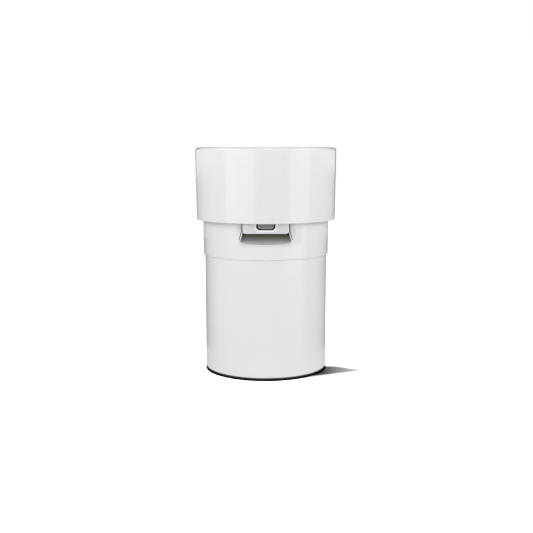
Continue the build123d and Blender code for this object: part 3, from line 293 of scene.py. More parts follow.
scoop, tree, shader, place = start_material("matt_warm_grey_abs", "#96928c", 0.50, IOR=1.53)
spot = add_node(tree, "ShaderNodeSeparateXYZ", {"Vector": (place, "Object")})
# painted shade: dark at the top, where the real scoop runs on behind the strap, pale at the lip
depth = add_node(tree, "ShaderNodeMapRange", {
    "Value": (spot, "Z"), "From Min": SCOOP_DARK_Z, "From Max": SCOOP_LIP_Z})
turn = add_node(tree, "ShaderNodeMath", {0: (depth, "Result"), 1: SCOOP_CURVE}, operation="POWER")
# the two ends of the painted shade, dark above and pale at the lip
tint = add_node(tree, "ShaderNodeMix", {"Factor": (turn, "Value"), "A": linear("#38341f"),
                                        "B": linear("#cacaca")}, data_type="RGBA")
grain = add_node(tree, "ShaderNodeTexNoise", {"Vector": (place, "Object"), "Scale": per_mm(0.7)})
relief = add_node(tree, "ShaderNodeBump",
                  {"Height": (grain, "Fac"), "Strength": 0.3, "Distance": GRAIN_DEPTH})
feed(tree, shader, Base_Color=(tint, "Result"), Normal=(relief, "Normal"))
finish["scoop_grey"] = scoop
print("scoop:", scoop.name)

# %% [markdown]
# ## The catch
#
# The nose that catches the strap is grey acetal, a slippery plastic for parts that rub. Its face is
# mid grey. Its flanks and its foot, where little light reaches, are painted almost black as painted
# shade: again the surface's own direction tells them apart, and how deep they lie.

# %% Grey acetal of the catch, with painted shade
CATCH_FACE, CATCH_SHADE = "#8b8785", "#1b1918"
FACE_Y, DEEP_Y = -0.0948, -0.0938

catch, tree, shader, place = start_material("matt_grey_acetal", CATCH_FACE, 0.46, IOR=1.48)
# painted shade on the flanks, where the surface turns away from the front, and on the deep foot
flank = turned_away(tree, place, 0.97, 0.75)
spot = add_node(tree, "ShaderNodeSeparateXYZ", {"Vector": (place, "Object")})
deep = add_node(tree, "ShaderNodeMapRange", {
    "Value": (spot, "Y"), "From Min": FACE_Y, "From Max": DEEP_Y})
catch_shade_mask = add_node(tree, "ShaderNodeMath", {0: (flank, "Result"), 1: (deep, "Result")},
                operation="MAXIMUM")
tint = add_node(tree, "ShaderNodeMix", {"Factor": (catch_shade_mask, "Value"), "A": linear(CATCH_FACE),
                                        "B": linear(CATCH_SHADE)}, data_type="RGBA")
feed(tree, shader, Base_Color=(tint, "Result"))
finish["catch_grey"] = catch
print("catch:", catch.name)

# %% [markdown]
# ## Plastics that the user meets inside
#
# The inner frames are natural polypropylene, which is a little greyer and more waxy than ABS, and
# the caps of the cartridge are the same plastic dyed grey. The socket and the switches are black
# nylon. All come out of plain moulds, so the nodes of the shells serve, with less gloss.

# %% Inner plastics
for slot, *look in (
        ("inner_white", "natural_polypropylene", "#d9d9d5", "#d0d0cc", 0.48, 0.8, 0.35, 1.49),
        ("cage_white", "matt_white_polypropylene", "#dfdfdb", "#d6d6d2", 0.50, 0.6, 0.35, 1.49),
        ("filter_cap", "matt_grey_polypropylene", "#8f9498", "#85898d", 0.55, 0.8, 0.5, 1.49),
        ("black_plastic", "matt_black_nylon", "#1d1d1e", "#262627", 0.50, 0.5, 0.6, 1.53)):
    finish[slot] = moulded_plastic(*look)
print("inner plastics:", list(finish)[-4:])

# %% [markdown]
# ## Glass-filled nylon
#
# The fan is dark nylon filled with short glass fibres, which keep the blades stiff. They rise to
# the surface and leave fine pale flecks along the flow. Round cells, stretched four times, give
# such flecks, drawn 0.9 mm wide, coarser than real ones, or they would not show.

# %% Glass-filled nylon
FIBRE_MM = 0.9
FIBRE_STRETCH = (1, 1, 0.25)  # fibres lie along Z, as the mould filled upwards

nylon, tree, shader, place = start_material("glass_filled_nylon", "#3c3d3f", 0.48, IOR=1.53)
along = add_node(tree, "ShaderNodeMapping", {"Vector": (place, "Object"), "Scale": FIBRE_STRETCH})
fibres = add_node(tree, "ShaderNodeTexVoronoi",
                  {"Vector": (along, "Vector"), "Scale": per_mm(FIBRE_MM)})
mask = add_node(tree, "ShaderNodeMapRange", {
    "Value": (fibres, "Distance"), "From Max": 0.28, "To Min": 0.5, "To Max": 0.0})
tint = add_node(tree, "ShaderNodeMix", {"Factor": (mask, "Result"), "A": linear("#3c3d3f"),
                                        "B": linear("#66686b")}, data_type="RGBA")
relief = add_node(tree, "ShaderNodeBump",
                  {"Height": (fibres, "Distance"), "Strength": 0.3, "Distance": 0.00005})
feed(tree, shader, Base_Color=(tint, "Result"), Normal=(relief, "Normal"))
finish["fan_grey"] = nylon
print("fan:", nylon.name)

# %% [markdown]
# ## Rubber, foam and felt
#
# Three black materials that must not look alike. The foot ring and the ring that carries the drum
# are moulded rubber: matt, with the fine dust that rubber always wears. The gasket is closed-cell
# foam, whose cut cells are small pits about 0.8 mm wide. The sleeve in the cartridge is felt loaded
# with activated carbon, so it has 1.5 mm grains that sparkle a little between dull fibres.

# %% Rubber, foam and felt
DUST_MM = 9  # width of the clouds in which dust settles
PIT_DEPTH = 0.0002


def pitted(name, colour, dust, roughness, cell_mm, depth, **shader_inputs):
    """A dark body with round cells or grains of cell_mm, dust in the tint and depth in the bump."""
    material, tree, shader, place = start_material(name, colour, roughness, **shader_inputs)
    cells = add_node(tree, "ShaderNodeTexVoronoi",
                     {"Vector": (place, "Object"), "Scale": per_mm(cell_mm)})
    clouds = add_node(tree, "ShaderNodeTexNoise",
                      {"Vector": (place, "Object"), "Scale": per_mm(DUST_MM), "Detail": 4.0})
    tint = add_node(tree, "ShaderNodeMix", {"Factor": (clouds, "Fac"), "A": linear(colour),
                                            "B": linear(dust)}, data_type="RGBA")
    relief = add_node(tree, "ShaderNodeBump",
                      {"Height": (cells, "Distance"), "Strength": depth, "Distance": PIT_DEPTH})
    feed(tree, shader, Base_Color=(tint, "Result"), Normal=(relief, "Normal"))
    return material


# each: material, colour, dust, roughness, cell in mm and strength of the bump
finish["foot_rubber"] = pitted(
    "moulded_black_rubber", "#121212", "#1c1c1c", 0.62, 0.6, 0.25, IOR=1.52)
finish["gasket_foam"] = pitted("closed_cell_foam", "#2c2d2e", "#3a3b3c", 0.85, 0.8, 0.9)
finish["carbon_felt"] = pitted("activated_carbon_felt", "#17181a", "#2b2c2e", 0.80, 1.5, 1.0,
                               Sheen_Weight=0.35, Sheen_Roughness=0.5)
print("dark materials:", list(finish)[-3:])

# %% [markdown]
# ## Filter paper
#
# The filter is glass-fibre paper, folded into pleats. It is laid down from a wet slurry, like any
# paper, so it has a cloudy, fibrous face: wide soft clouds, and fine fibres about 0.4 mm across
# that lie every way. It shines nowhere.

# %% Glass-fibre paper
paper, tree, shader, place = start_material("glass_fibre_paper", "#ecebe6", 0.92, IOR=1.45)
fibres = add_node(tree, "ShaderNodeTexNoise", {"Vector": (place, "Object"), "Scale": per_mm(0.8),
                                               "Detail": 5.0, "Distortion": 1.5})
clouds = add_node(tree, "ShaderNodeTexNoise",
                  {"Vector": (place, "Object"), "Scale": per_mm(12), "Detail": 2.0})
mottle = add_node(tree, "ShaderNodeMath", {0: (fibres, "Fac"), 1: (clouds, "Fac")},
                  operation="MULTIPLY")
tint = add_node(tree, "ShaderNodeMix", {"Factor": (mottle, "Value"), "A": linear("#f1f0ec"),
                                        "B": linear("#d8d6cf")}, data_type="RGBA")
relief = add_node(tree, "ShaderNodeBump",
                  {"Height": (fibres, "Fac"), "Strength": 0.5, "Distance": 0.00012})
feed(tree, shader, Base_Color=(tint, "Result"), Normal=(relief, "Normal"))
finish["pleat_paper"] = paper
print("paper:", paper.name)

# %% [markdown]
# ## Woven ribbon
#
# The loop that pulls the cartridge out is a woven polyester ribbon. Its yarns are 0.6 mm wide, so
# over and under repeat every 1.2 mm: two wave patterns at right angles give the weave. Polyester
# filament has a soft sheen at glancing angles.

# %% Woven polyester
YARN_PAIR_MM = 1.2

ribbon, tree, shader, place = start_material(
    "woven_polyester_ribbon", "#5b7ea3", 0.62, Sheen_Weight=0.4, Sheen_Roughness=0.4)
warp, weft = (
    add_node(tree, "ShaderNodeTexWave", {"Vector": (place, "Object"),
                                         "Scale": waves_per_mm(YARN_PAIR_MM)},
             bands_direction=direction) for direction in "XY")
weave = add_node(tree, "ShaderNodeMath", {0: (warp, "Fac"), 1: (weft, "Fac")},
                 operation="MULTIPLY")
tint = add_node(tree, "ShaderNodeMix", {"Factor": (weave, "Value"), "A": linear("#46668a"),
                                        "B": linear("#6f93b8")}, data_type="RGBA")
relief = add_node(tree, "ShaderNodeBump",
                  {"Height": (weave, "Value"), "Strength": 0.6, "Distance": 0.0001})
feed(tree, shader, Base_Color=(tint, "Result"), Normal=(relief, "Normal"))
finish["pull_ribbon"] = ribbon
print("ribbon:", ribbon.name)

# %% [markdown]
# ## Metals
#
# A metal's look is its colour at full metallic, and above all its roughness, which follows from
# how the surface was made. Zinc plate on screws and pins is dull, with faint clouds of oxide.
# Ground bearing steel is almost a mirror. The motor's core is a stack of 0.5 mm sheets, so it has a
# dark line every half millimetre along its axis. The coils are enamelled copper, drawn with one
# wave per turn of 0.7 mm wire. The magnet is ferrite powder bound in plastic, so it is pitted and
# dark, and hardly a metal to the eye.

# %% Plated, ground and stacked metal
OXIDE_DRIFT = 0.08  # how far the roughness drifts either way


def cloudy_metal(name, colour, shade, roughness, cloud_mm):
    """Metal whose tint and roughness drift in clouds of cloud_mm."""
    material, tree, shader, place = start_material(name, colour, roughness, Metallic=1.0)
    clouds = add_node(tree, "ShaderNodeTexNoise", {"Vector": (place, "Object"),
                                                   "Scale": per_mm(cloud_mm), "Detail": 4.0})
    tint = add_node(tree, "ShaderNodeMix", {"Factor": (clouds, "Fac"), "A": linear(colour),
                                            "B": linear(shade)}, data_type="RGBA")
    rough = add_node(tree, "ShaderNodeMapRange", {
        "Value": (clouds, "Fac"), "To Min": roughness - OXIDE_DRIFT,
        "To Max": roughness + OXIDE_DRIFT})
    feed(tree, shader, Base_Color=(tint, "Result"), Roughness=(rough, "Result"))
    return material


def ruled_metal(name, colour, line, pitch_mm, roughness):
    """Metal ruled across Z with fine darker lines, one every pitch_mm."""
    material, tree, shader, place = start_material(name, colour, roughness, Metallic=1.0)
    rule = add_node(tree, "ShaderNodeTexWave", {"Vector": (place, "Object"),
                                                "Scale": waves_per_mm(pitch_mm)},
                    bands_direction="Z")
    tint = add_node(tree, "ShaderNodeMix", {"Factor": (rule, "Fac"), "A": linear(line),
                                            "B": linear(colour)}, data_type="RGBA")
    relief = add_node(tree, "ShaderNodeBump",
                      {"Height": (rule, "Fac"), "Strength": 0.5, "Distance": 0.00015})
    feed(tree, shader, Base_Color=(tint, "Result"), Normal=(relief, "Normal"))
    return material


# each: material, colour, shade, roughness and cloud in mm
finish["steel"] = cloudy_metal("zinc_plated_steel", "#c2c4c6", "#a9acae", 0.36, 4)
finish["bearing_steel"] = cloudy_metal("ground_bearing_steel", "#cfd0d2", "#c4c5c8", 0.16, 3)
finish["contact_brass"] = cloudy_metal("plated_brass", "#d8bd7c", "#c4a662", 0.28, 3)
# each: material, colour, line, pitch in mm and roughness
finish["stator_steel"] = ruled_metal("laminated_core_steel", "#8b8d90", "#4d4f52", 0.5, 0.42)
finish["winding_copper"] = ruled_metal("enamelled_copper_wire", "#c8743c", "#6d3415", 0.7, 0.30)
finish["magnet_grey"] = pitted("bonded_ferrite", "#3a3b3d", "#4a4b4d", 0.66, 0.5, 0.4)
print("metals:", list(finish)[-6:])

# %% [markdown]
# ## Circuit board and light ring
#
# The board is green solder mask over copper. Where copper runs under the mask the green is lighter,
# so a pattern of blocks 3 mm long stands for the tracks. The light ring round the power button is
# frosted polycarbonate: clear plastic with a fine frost, so light enters, spreads and leaves soft.

# %% Board and frosted plastic
BLOCK_MM = 3  # a brick texture at scale 1 has bricks half a unit long
FROST_MM = 0.6

board, tree, shader, place = start_material("green_solder_mask", "#1d5a38", 0.32, IOR=1.55)
tracks = add_node(tree, "ShaderNodeTexBrick", {
    "Vector": (place, "Object"), "Scale": per_mm(2 * BLOCK_MM), "Color1": linear("#1f6a40"),
    "Color2": linear("#1a5634"), "Mortar": linear("#14462b"), "Mortar Size": 0.05})
feed(tree, shader, Base_Color=(tracks, "Color"))
finish["board_green"] = board

frosted, tree, shader, place = start_material(
    "frosted_polycarbonate", "#e9eef0", 0.42, IOR=1.58, Transmission_Weight=0.25)
frost = add_node(tree, "ShaderNodeTexNoise", {"Vector": (place, "Object"),
                                              "Scale": per_mm(FROST_MM)})
relief = add_node(tree, "ShaderNodeBump", {"Height": (frost, "Fac"), "Strength": 0.4,
                                           "Distance": 0.00005})
feed(tree, shader, Normal=(relief, "Normal"))
finish["light_pipe"] = frosted
print("board and light ring:", board.name, frosted.name)

# %% [markdown]
# ## Dress the solids
#
# The record says which finish each solid takes. A solid keeps its own mesh: only the material in
# its slots changes.

# %% Give every solid its finish
slot_of = {part["node"]: part["material_slot"] for part in frame["record"]["subparts"]}
for name, solid in nodes.items():
    for entry in solid.material_slots:
        entry.material = finish[slot_of[name]]
print("finishes in use:", sorted(set(slot_of.values())))

# %% [markdown]
# ## Screws
#
# Sixteen screws hold the real object together: under the base, under the fan deck, on the motor, on
# the board and behind the catch. Each is a pan head with a cross recess, cold-formed from steel
# wire. A node tree makes one head, cuts the cross out of it, adds the shank and sets copies on a
# ring. No two real screws stop at the same angle, so each copy gets its own turn. The tree's inputs
# are the measures that differ from one set to the next.


# %% Helpers for new pieces
def show(name, data):
    """Puts a mesh, a light or a camera in the scene as an object."""
    thing = bpy.data.objects.new(name, data)
    bpy.context.scene.collection.objects.link(thing)
    return thing


def start_tree(name, inputs):
    """A geometry tree with these inputs: returns it with its group input node."""
    tree = bpy.data.node_groups.new(name, "GeometryNodeTree")
    for label, kind in inputs:
        tree.interface.new_socket(label, in_out="INPUT", socket_type="NodeSocket" + kind)
    tree.interface.new_socket("Geometry", in_out="OUTPUT", socket_type="NodeSocketGeometry")
    return tree, add_node(tree, "NodeGroupInput")


def grow(tree, name, values, start=None):
    """Runs the tree once with these values and returns the mesh that it makes."""
    seed = show(name, start or bpy.data.meshes.new(name + "_seed"))
    modifier = seed.modifiers.new("grow", "NODES")
    modifier.node_group = tree
    for socket in tree.interface.items_tree:
        if socket.in_out == "INPUT" and socket.name in values:
            modifier[socket.identifier] = values[socket.name]
    ready = seed.evaluated_get(bpy.context.evaluated_depsgraph_get())
    mesh = bpy.data.meshes.new_from_object(ready)
    mesh.name = name
    bpy.data.objects.remove(seed)
    return mesh


def set_piece(name, mesh, body, slot, *stands_for):
    """Puts a mesh in the scene as a piece of a body."""
    piece = show(name, mesh)
    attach(piece, body)
    if stands_for:
        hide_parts(*stands_for)
    print(name, "on", body, "with", len(mesh.polygons), "faces")


# %% [markdown]
# The head is the common part of a flattened ball and a cylinder, which gives the low dome of a pan
# head. Two crossed bars cut the recess. The tree works in a frame of its own, with the face of the
# head at height 0 and the shank hanging down, and each set is then turned to where it is driven.

# %% Screw tree
BALL_WIDTH = 1.25  # the ball is wider than the head, so that the head has a low rim
RECESS = (1.15, 0.26, 0.60)  # length, width and depth of one bar, in head radii
QUARTER_TURN = 1.57  # a cross looks the same after a quarter turn, so no turn is larger

screws, given = start_tree("cross_recess_screws", [
    ("Count", "Int"), ("Ring Radius", "Float"), ("Start Angle", "Float"), ("Head Radius", "Float"),
    ("Head Height", "Float"), ("Shank Radius", "Float"), ("Shank Length", "Float"),
    ("Metal", "Material")])
ball = add_node(screws, "GeometryNodeMeshUVSphere", {"Segments": 40, "Rings": 20})
wide = add_node(screws, "ShaderNodeMath", {0: (given, "Head Radius"), 1: BALL_WIDTH},
                operation="MULTIPLY")
squat = add_node(screws, "ShaderNodeCombineXYZ", {"X": (wide, "Value"), "Y": (wide, "Value"),
                                                  "Z": (given, "Head Height")})
drop = add_node(screws, "ShaderNodeMath", {0: (given, "Head Height"), 1: -1.0},
                operation="MULTIPLY")
foot = add_node(screws, "ShaderNodeCombineXYZ", {"Z": (drop, "Value")})
dome = add_node(screws, "GeometryNodeTransform", {
    "Geometry": (ball, "Mesh"), "Translation": (foot, "Vector"), "Scale": (squat, "Vector")})
block = add_node(screws, "GeometryNodeMeshCylinder", {
    "Vertices": 40, "Radius": (given, "Head Radius"), "Depth": (given, "Head Height")})
half = add_node(screws, "ShaderNodeVectorMath", {0: (foot, "Vector"), "Scale": 0.5},
                operation="SCALE")
rim = add_node(screws, "GeometryNodeTransform", {"Geometry": (block, "Mesh"),
                                                 "Translation": (half, "Vector")})
pan = add_node(screws, "GeometryNodeMeshBoolean", {1: (dome, "Geometry")}, operation="INTERSECT",
               solver="EXACT")
screws.links.new(rim.outputs["Geometry"], pan.inputs[1])
bars = add_node(screws, "GeometryNodeJoinGeometry")
long, narrow, deep = RECESS
for shape in ((long, narrow, deep), (narrow, long, deep)):
    size = add_node(screws, "ShaderNodeVectorMath", {0: shape, "Scale": (given, "Head Radius")},
                    operation="SCALE")
    bar = add_node(screws, "GeometryNodeMeshCube", {"Size": (size, "Vector")})
    screws.links.new(bar.outputs["Mesh"], bars.inputs["Geometry"])
cross = add_node(screws, "GeometryNodeMeshBoolean", {1: (bars, "Geometry")}, operation="UNION",
                 solver="EXACT")
head = add_node(screws, "GeometryNodeMeshBoolean", {0: (pan, "Mesh"), 1: (cross, "Mesh")},
                operation="DIFFERENCE", solver="EXACT")
stem = add_node(screws, "GeometryNodeMeshCylinder", {
    "Vertices": 24, "Radius": (given, "Shank Radius"), "Depth": (given, "Shank Length")})
down = add_node(screws, "ShaderNodeMath", {0: (given, "Shank Length"), 1: -0.5,
                                           2: (drop, "Value")}, operation="MULTIPLY_ADD")
under = add_node(screws, "ShaderNodeCombineXYZ", {"Z": (down, "Value")})
shank = add_node(screws, "GeometryNodeTransform", {"Geometry": (stem, "Mesh"),
                                                   "Translation": (under, "Vector")})
screw = add_node(screws, "GeometryNodeJoinGeometry", {"Geometry": (head, "Mesh")})
screws.links.new(shank.outputs["Geometry"], screw.inputs["Geometry"])
number = add_node(screws, "GeometryNodeInputIndex")
step = add_node(screws, "ShaderNodeMath", {0: 2 * pi, 1: (given, "Count")}, operation="DIVIDE")
angle = add_node(screws, "ShaderNodeMath", {0: (number, "Index"), 1: (step, "Value"),
                                            2: (given, "Start Angle")}, operation="MULTIPLY_ADD")
outward = add_node(screws, "ShaderNodeCombineXYZ", {"X": (given, "Ring Radius")})
on_ring = add_node(screws, "ShaderNodeVectorRotate", {
    "Vector": (outward, "Vector"), "Angle": (angle, "Value")}, rotation_type="Z_AXIS")
places = add_node(screws, "GeometryNodePoints", {"Count": (given, "Count"),
                                                 "Position": (on_ring, "Vector")})
turn = add_node(screws, "FunctionNodeRandomValue", {
    "Max": (0, 0, QUARTER_TURN), "Seed": 7}, data_type="FLOAT_VECTOR")
copies = add_node(screws, "GeometryNodeInstanceOnPoints", {
    "Points": (places, "Geometry"), "Instance": (screw, "Geometry"), "Rotation": (turn, "Value")})
solid = add_node(screws, "GeometryNodeRealizeInstances", {"Geometry": (copies, "Instances")})
plated = add_node(screws, "GeometryNodeSetMaterial", {"Geometry": (solid, "Geometry"),
                                                      "Material": (given, "Metal")})
add_node(screws, "NodeGroupOutput", {"Geometry": (plated, "Geometry")})
print("screw tree:", len(screws.nodes), "nodes")

# %% [markdown]
# Each set takes the height of its solid from the CAD box, and its ring from the drawing. Screws
# under the base and the deck are driven from below, those on the motor and the board from above,
# and the two behind the catch from inside the scoop.

# %% Five sets of screws
FROM_ABOVE, FROM_BELOW = Matrix(), Matrix.Rotation(pi, 4, "X")
FROM_BEHIND = Matrix.Rotation(-pi / 2, 4, "X")
CATCH_HEIGHT = 0.233
SMOOTH_ANGLE = radians(32)  # a sharper edge than this stays crisp

# each row: solid, how many, ring radius in mm, first angle in degrees, head radius, head height
# and shank radius in mm, and from where the set is driven
for node, count, ring, start, head_radius, head_height, shank_radius, driven in (
        ("base_screws", 4, 83.5, 45, 3.0, 1.4, 1.4, FROM_BELOW),
        ("deck_screws", 4, 100.4, 45, 2.6, 1.8, 1.5, FROM_BELOW),
        ("motor_screws", 3, 24, 90, 2.6, 1.8, 1.3, FROM_ABOVE),
        ("board_screws", 3, 33, 30, 2.3, 1.5, 1.1, FROM_ABOVE),
        ("catch_screws", 2, 8, 0, 2.4, 1.5, 1.1, FROM_BEHIND)):
    low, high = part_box(node)
    if driven is FROM_BEHIND:
        face, length = (0, high[1], CATCH_HEIGHT), high[1] - low[1]
    else:
        face, length = (0, 0, (low if driven is FROM_BELOW else high)[2]), high[2] - low[2]
    mesh = grow(screws, node + "_look", {
        "Count": count, "Ring Radius": ring / 1000, "Start Angle": radians(start),
        "Head Radius": head_radius / 1000, "Head Height": head_height / 1000,
        "Shank Radius": shank_radius / 1000, "Shank Length": length - head_height / 1000,
        "Metal": finish["steel"]})
    mesh.transform(Matrix.Translation(face) @ driven)
    mesh.shade_smooth()
    mesh.set_sharp_from_angle(angle=SMOOTH_ANGLE)
    set_piece(node + "_look", mesh, body_of_node[node], "steel", node)

# %% [markdown]
# ## Pull ribbon
#
# The ribbon on the cartridge is 9 mm wide, heat-welded flat at both ends and sewn through the cap's
# lugs, with a low arch in the middle for a finger. One cross-section with rounded edges is repeated
# along it, and neighbours are joined by faces, which is the plainest way to sweep a strip.

# %% Ribbon
RIBBON_THICK = 0.0008
SIDE_GAP = 0.0002  # the strip is this much narrower than its solid on each side
ARCH_HALF, ARCH_RAMP, ARCH_RISE = 0.014, 0.006, 0.0024
STATIONS = 72

low, high = (Vector(v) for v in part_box("filter_pull_tab"))
middle_x = (low.x + high.x) / 2
half_width = (high.x - low.x) / 2 - SIDE_GAP


def make_mesh(name, points, faces, material):
    """A mesh from points in metres and faces, all of one material."""
    mesh = bpy.data.meshes.new(name)
    mesh.from_pydata(points, [], faces)
    mesh.materials.append(material)
    return mesh


def arch(y):
    """Height of the ribbon's underside at y: flat, up over the finger gap, flat again."""
    rise = min(1.0, max(0.0, (ARCH_HALF - abs(y)) / ARCH_RAMP))
    return low.z + ARCH_RISE * rise * rise * (3 - 2 * rise)


# the outline of a cross-section, in half widths and in thicknesses
section = [(-1.0, 0.25), (-0.97, 0.0), (0.97, 0.0), (1.0, 0.25), (1.0, 0.75), (0.97, 1.0),
           (-0.97, 1.0), (-1.0, 0.75)]
n = len(section)
points, faces = [], []
for i in range(STATIONS + 1):
    y = low.y + (high.y - low.y) * i / STATIONS
    points += [(middle_x + u * half_width, y, arch(y) + v * RIBBON_THICK) for u, v in section]
for i in range(STATIONS):
    faces += [(i * n + j, i * n + (j + 1) % n, (i + 1) * n + (j + 1) % n, (i + 1) * n + j)
              for j in range(n)]
faces += [tuple(range(n)), tuple(reversed(range(len(points) - n, len(points))))]
ribbon_mesh = make_mesh("pull_ribbon_look", points, faces, finish["pull_ribbon"])
strip = bmesh.new()
strip.from_mesh(ribbon_mesh)
bmesh.ops.recalc_face_normals(strip, faces=strip.faces)
strip.to_mesh(ribbon_mesh)
strip.free()
ribbon_mesh.shade_smooth()
set_piece("pull_ribbon_look", ribbon_mesh, "filter", "pull_ribbon", "filter_pull_tab")

# %% [markdown]
# The ribbon is sewn down with a box and a cross at each end, as straps are. A second node tree
# sews: it walks along a path and lays a stitch, a long ball half sunk into the cloth, every 1.7 mm.

# %% Stitches
stitching, given = start_tree("lockstitches", [
    ("Geometry", "Geometry"), ("Pitch", "Float"), ("Thread Radius", "Float"),
    ("Stitch Length", "Float"), ("Thread", "Material")])
walk = add_node(stitching, "GeometryNodeCurveToPoints", {
    "Curve": (given, "Geometry"), "Length": (given, "Pitch")}, mode="LENGTH")
bead = add_node(stitching, "GeometryNodeMeshUVSphere", {"Segments": 10, "Rings": 8})
halved = add_node(stitching, "ShaderNodeMath", {0: (given, "Stitch Length"), 1: 0.5},
                  operation="MULTIPLY")
shape = add_node(stitching, "ShaderNodeCombineXYZ", {
    "X": (given, "Thread Radius"), "Y": (given, "Thread Radius"), "Z": (halved, "Value")})
laid = add_node(stitching, "GeometryNodeInstanceOnPoints", {
    "Points": (walk, "Points"), "Instance": (bead, "Mesh"), "Rotation": (walk, "Rotation"),
    "Scale": (shape, "Vector")})
real = add_node(stitching, "GeometryNodeRealizeInstances", {"Geometry": (laid, "Instances")})
dyed = add_node(stitching, "GeometryNodeSetMaterial", {"Geometry": (real, "Geometry"),
                                                       "Material": (given, "Thread")})
add_node(stitching, "NodeGroupOutput", {"Geometry": (dyed, "Geometry")})

SEAM_HALF, SEAM_IN, SEAM_OUT = 0.0032, 0.0155, 0.0245

thread = start_material("spun_polyester_thread", "#b9c9dc", 0.65, Sheen_Weight=0.3)[0]
path = bpy.data.curves.new("stitch_path", "CURVE")
path.dimensions = "3D"
left, right, z = middle_x - SEAM_HALF, middle_x + SEAM_HALF, low.z + RIBBON_THICK
for side in (-1, 1):  # at each end a box with a cross in it
    near, far = side * SEAM_IN, side * SEAM_OUT
    for route in ([(left, near), (right, near), (right, far), (left, far), (left, near)],
                  [(left, near), (right, far)], [(right, near), (left, far)]):
        line = path.splines.new("POLY")
        line.points.add(len(route) - 1)
        for point, (x, y) in zip(line.points, route):
            point.co = (x, y, z, 1.0)
stitches = grow(stitching, "pull_ribbon_stitches", {
    "Pitch": 0.0017, "Thread Radius": 0.0002, "Stitch Length": 0.0013, "Thread": thread}, path)
stitches.shade_smooth()
set_piece("pull_ribbon_stitches", stitches, "filter", "pull_ribbon")

# %% [markdown]
# ## Signs on the buttons
#
# The signs are pad-printed: a silicone pad lays down a film of ink 0.03 mm thick. They are the
# plain signs that such buttons share: a broken ring with a bar for power, three rising bars for
# speed and a crescent for the quiet setting. Each outline is drawn flat in millimetres and given
# the thickness of the ink.

# %% Pad-printed signs
INK_THICK = 0.00003


def arc(radius, start, end, centre=(0, 0), steps=32):
    """Points on an arc, angles in degrees."""
    turns = [radians(start + (end - start) * i / steps) for i in range(steps + 1)]
    return [(centre[0] + radius * cos(t), centre[1] + radius * sin(t)) for t in turns]


def bar(x, y, width, height):
    """The corners of an upright bar whose foot has its middle at x, y."""
    left, right = x - width / 2, x + width / 2
    return [(left, y), (right, y), (right, y + height), (left, y + height)]


def print_sign(button, outlines, ink):
    """Lays flat outlines, in mm from the button's middle, on its top."""
    low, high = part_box(button)
    middle = ((low[0] + high[0]) / 2, (low[1] + high[1]) / 2)
    points, faces = [], []
    for outline in outlines:
        first, count = len(points), len(outline)
        for z in (high[2], high[2] + INK_THICK):
            points += [(middle[0] + x / 1000, middle[1] + y / 1000, z) for x, y in outline]
        faces.append(tuple(first + count + i for i in range(count)))
        faces.append(tuple(first + count - 1 - i for i in range(count)))
        faces += [(first + i, first + (i + 1) % count, first + count + (i + 1) % count,
                   first + count + i) for i in range(count)]
    mesh = make_mesh(button + "_sign", points, faces, ink)
    set_piece(button + "_sign", mesh, body_of_node[button], slot_of[button])


ink = start_material("grey_pad_print_ink", "#74787c", 0.55)[0]
for button, outlines in (
        ("power_button", [arc(2.6, 125, 415) + arc(2.1, 415, 125), bar(0, 0.5, 0.5, 2.6)]),
        ("speed_button", [bar(-1.5, -1.6, 0.7, 1.2), bar(0, -1.6, 0.7, 2.2),
                          bar(1.5, -1.6, 0.7, 3.2)]),
        ("sleep_button", [arc(2.0, 60, 330) + arc(1.75, 300, 90, (0.82, 0.32))])):
    print_sign(button, outlines, ink)

# %% [markdown]
# ## Floor
#
# The object stands on a pale sweep in a white studio. The floor is a plain matt sheet. To the
# camera alone its paint is brighter than any real paint, and more so away from the object, so that
# soft grey shade comes out as clean white. In a wedge beside the base the camera's paint drops to a
# tenth, which deepens the real shadow there into a painted shadow, and a thin ring under the front
# rim is painted black, a painted contact shadow.

# %% Floor, with painted shadow
FLOOR_HALF = 8.0
FLOOR_PAINT = 0.88  # how much light the floor gives back to the object
# the first is the camera's paint in the painted shadow
SEEN_IN_SHADE, SEEN_IN_LIGHT = 0.10, 3.4  # the same for the camera
# two slanting lines bound the painted shadow: on each, Y plus this much of X is the same
AHEAD_SLOPE, BEHIND_SLOPE = -0.52, 0.64
# the painted black contact shadow under the front rim ends between two circles, whose middle lies
# this far ahead
CONTACT_SHADOW_AHEAD, CONTACT_SHADOW_INNER, CONTACT_SHADOW_OUTER = 0.0072, 0.0932, 0.0948

sweep = bpy.data.materials.new("matt_white_sweep")
tree = empty_tree(sweep)
corners = [(x * FLOOR_HALF, y * FLOOR_HALF, 0) for x, y in ((-1, -1), (1, -1), (1, 1), (-1, 1))]
studio_floor = show("studio_floor", make_mesh("studio_floor", corners, [(0, 1, 2, 3)], sweep))

seen = add_node(tree, "ShaderNodeLightPath")
where = add_node(tree, "ShaderNodeTexCoord")
spot = add_node(tree, "ShaderNodeSeparateXYZ", {"Vector": (where, "Object")})
ahead, behind = (
    add_node(tree, "ShaderNodeMath", {0: (spot, "X"), 1: slope, 2: (spot, "Y")},
             operation="MULTIPLY_ADD") for slope in (AHEAD_SLOPE, BEHIND_SLOPE))
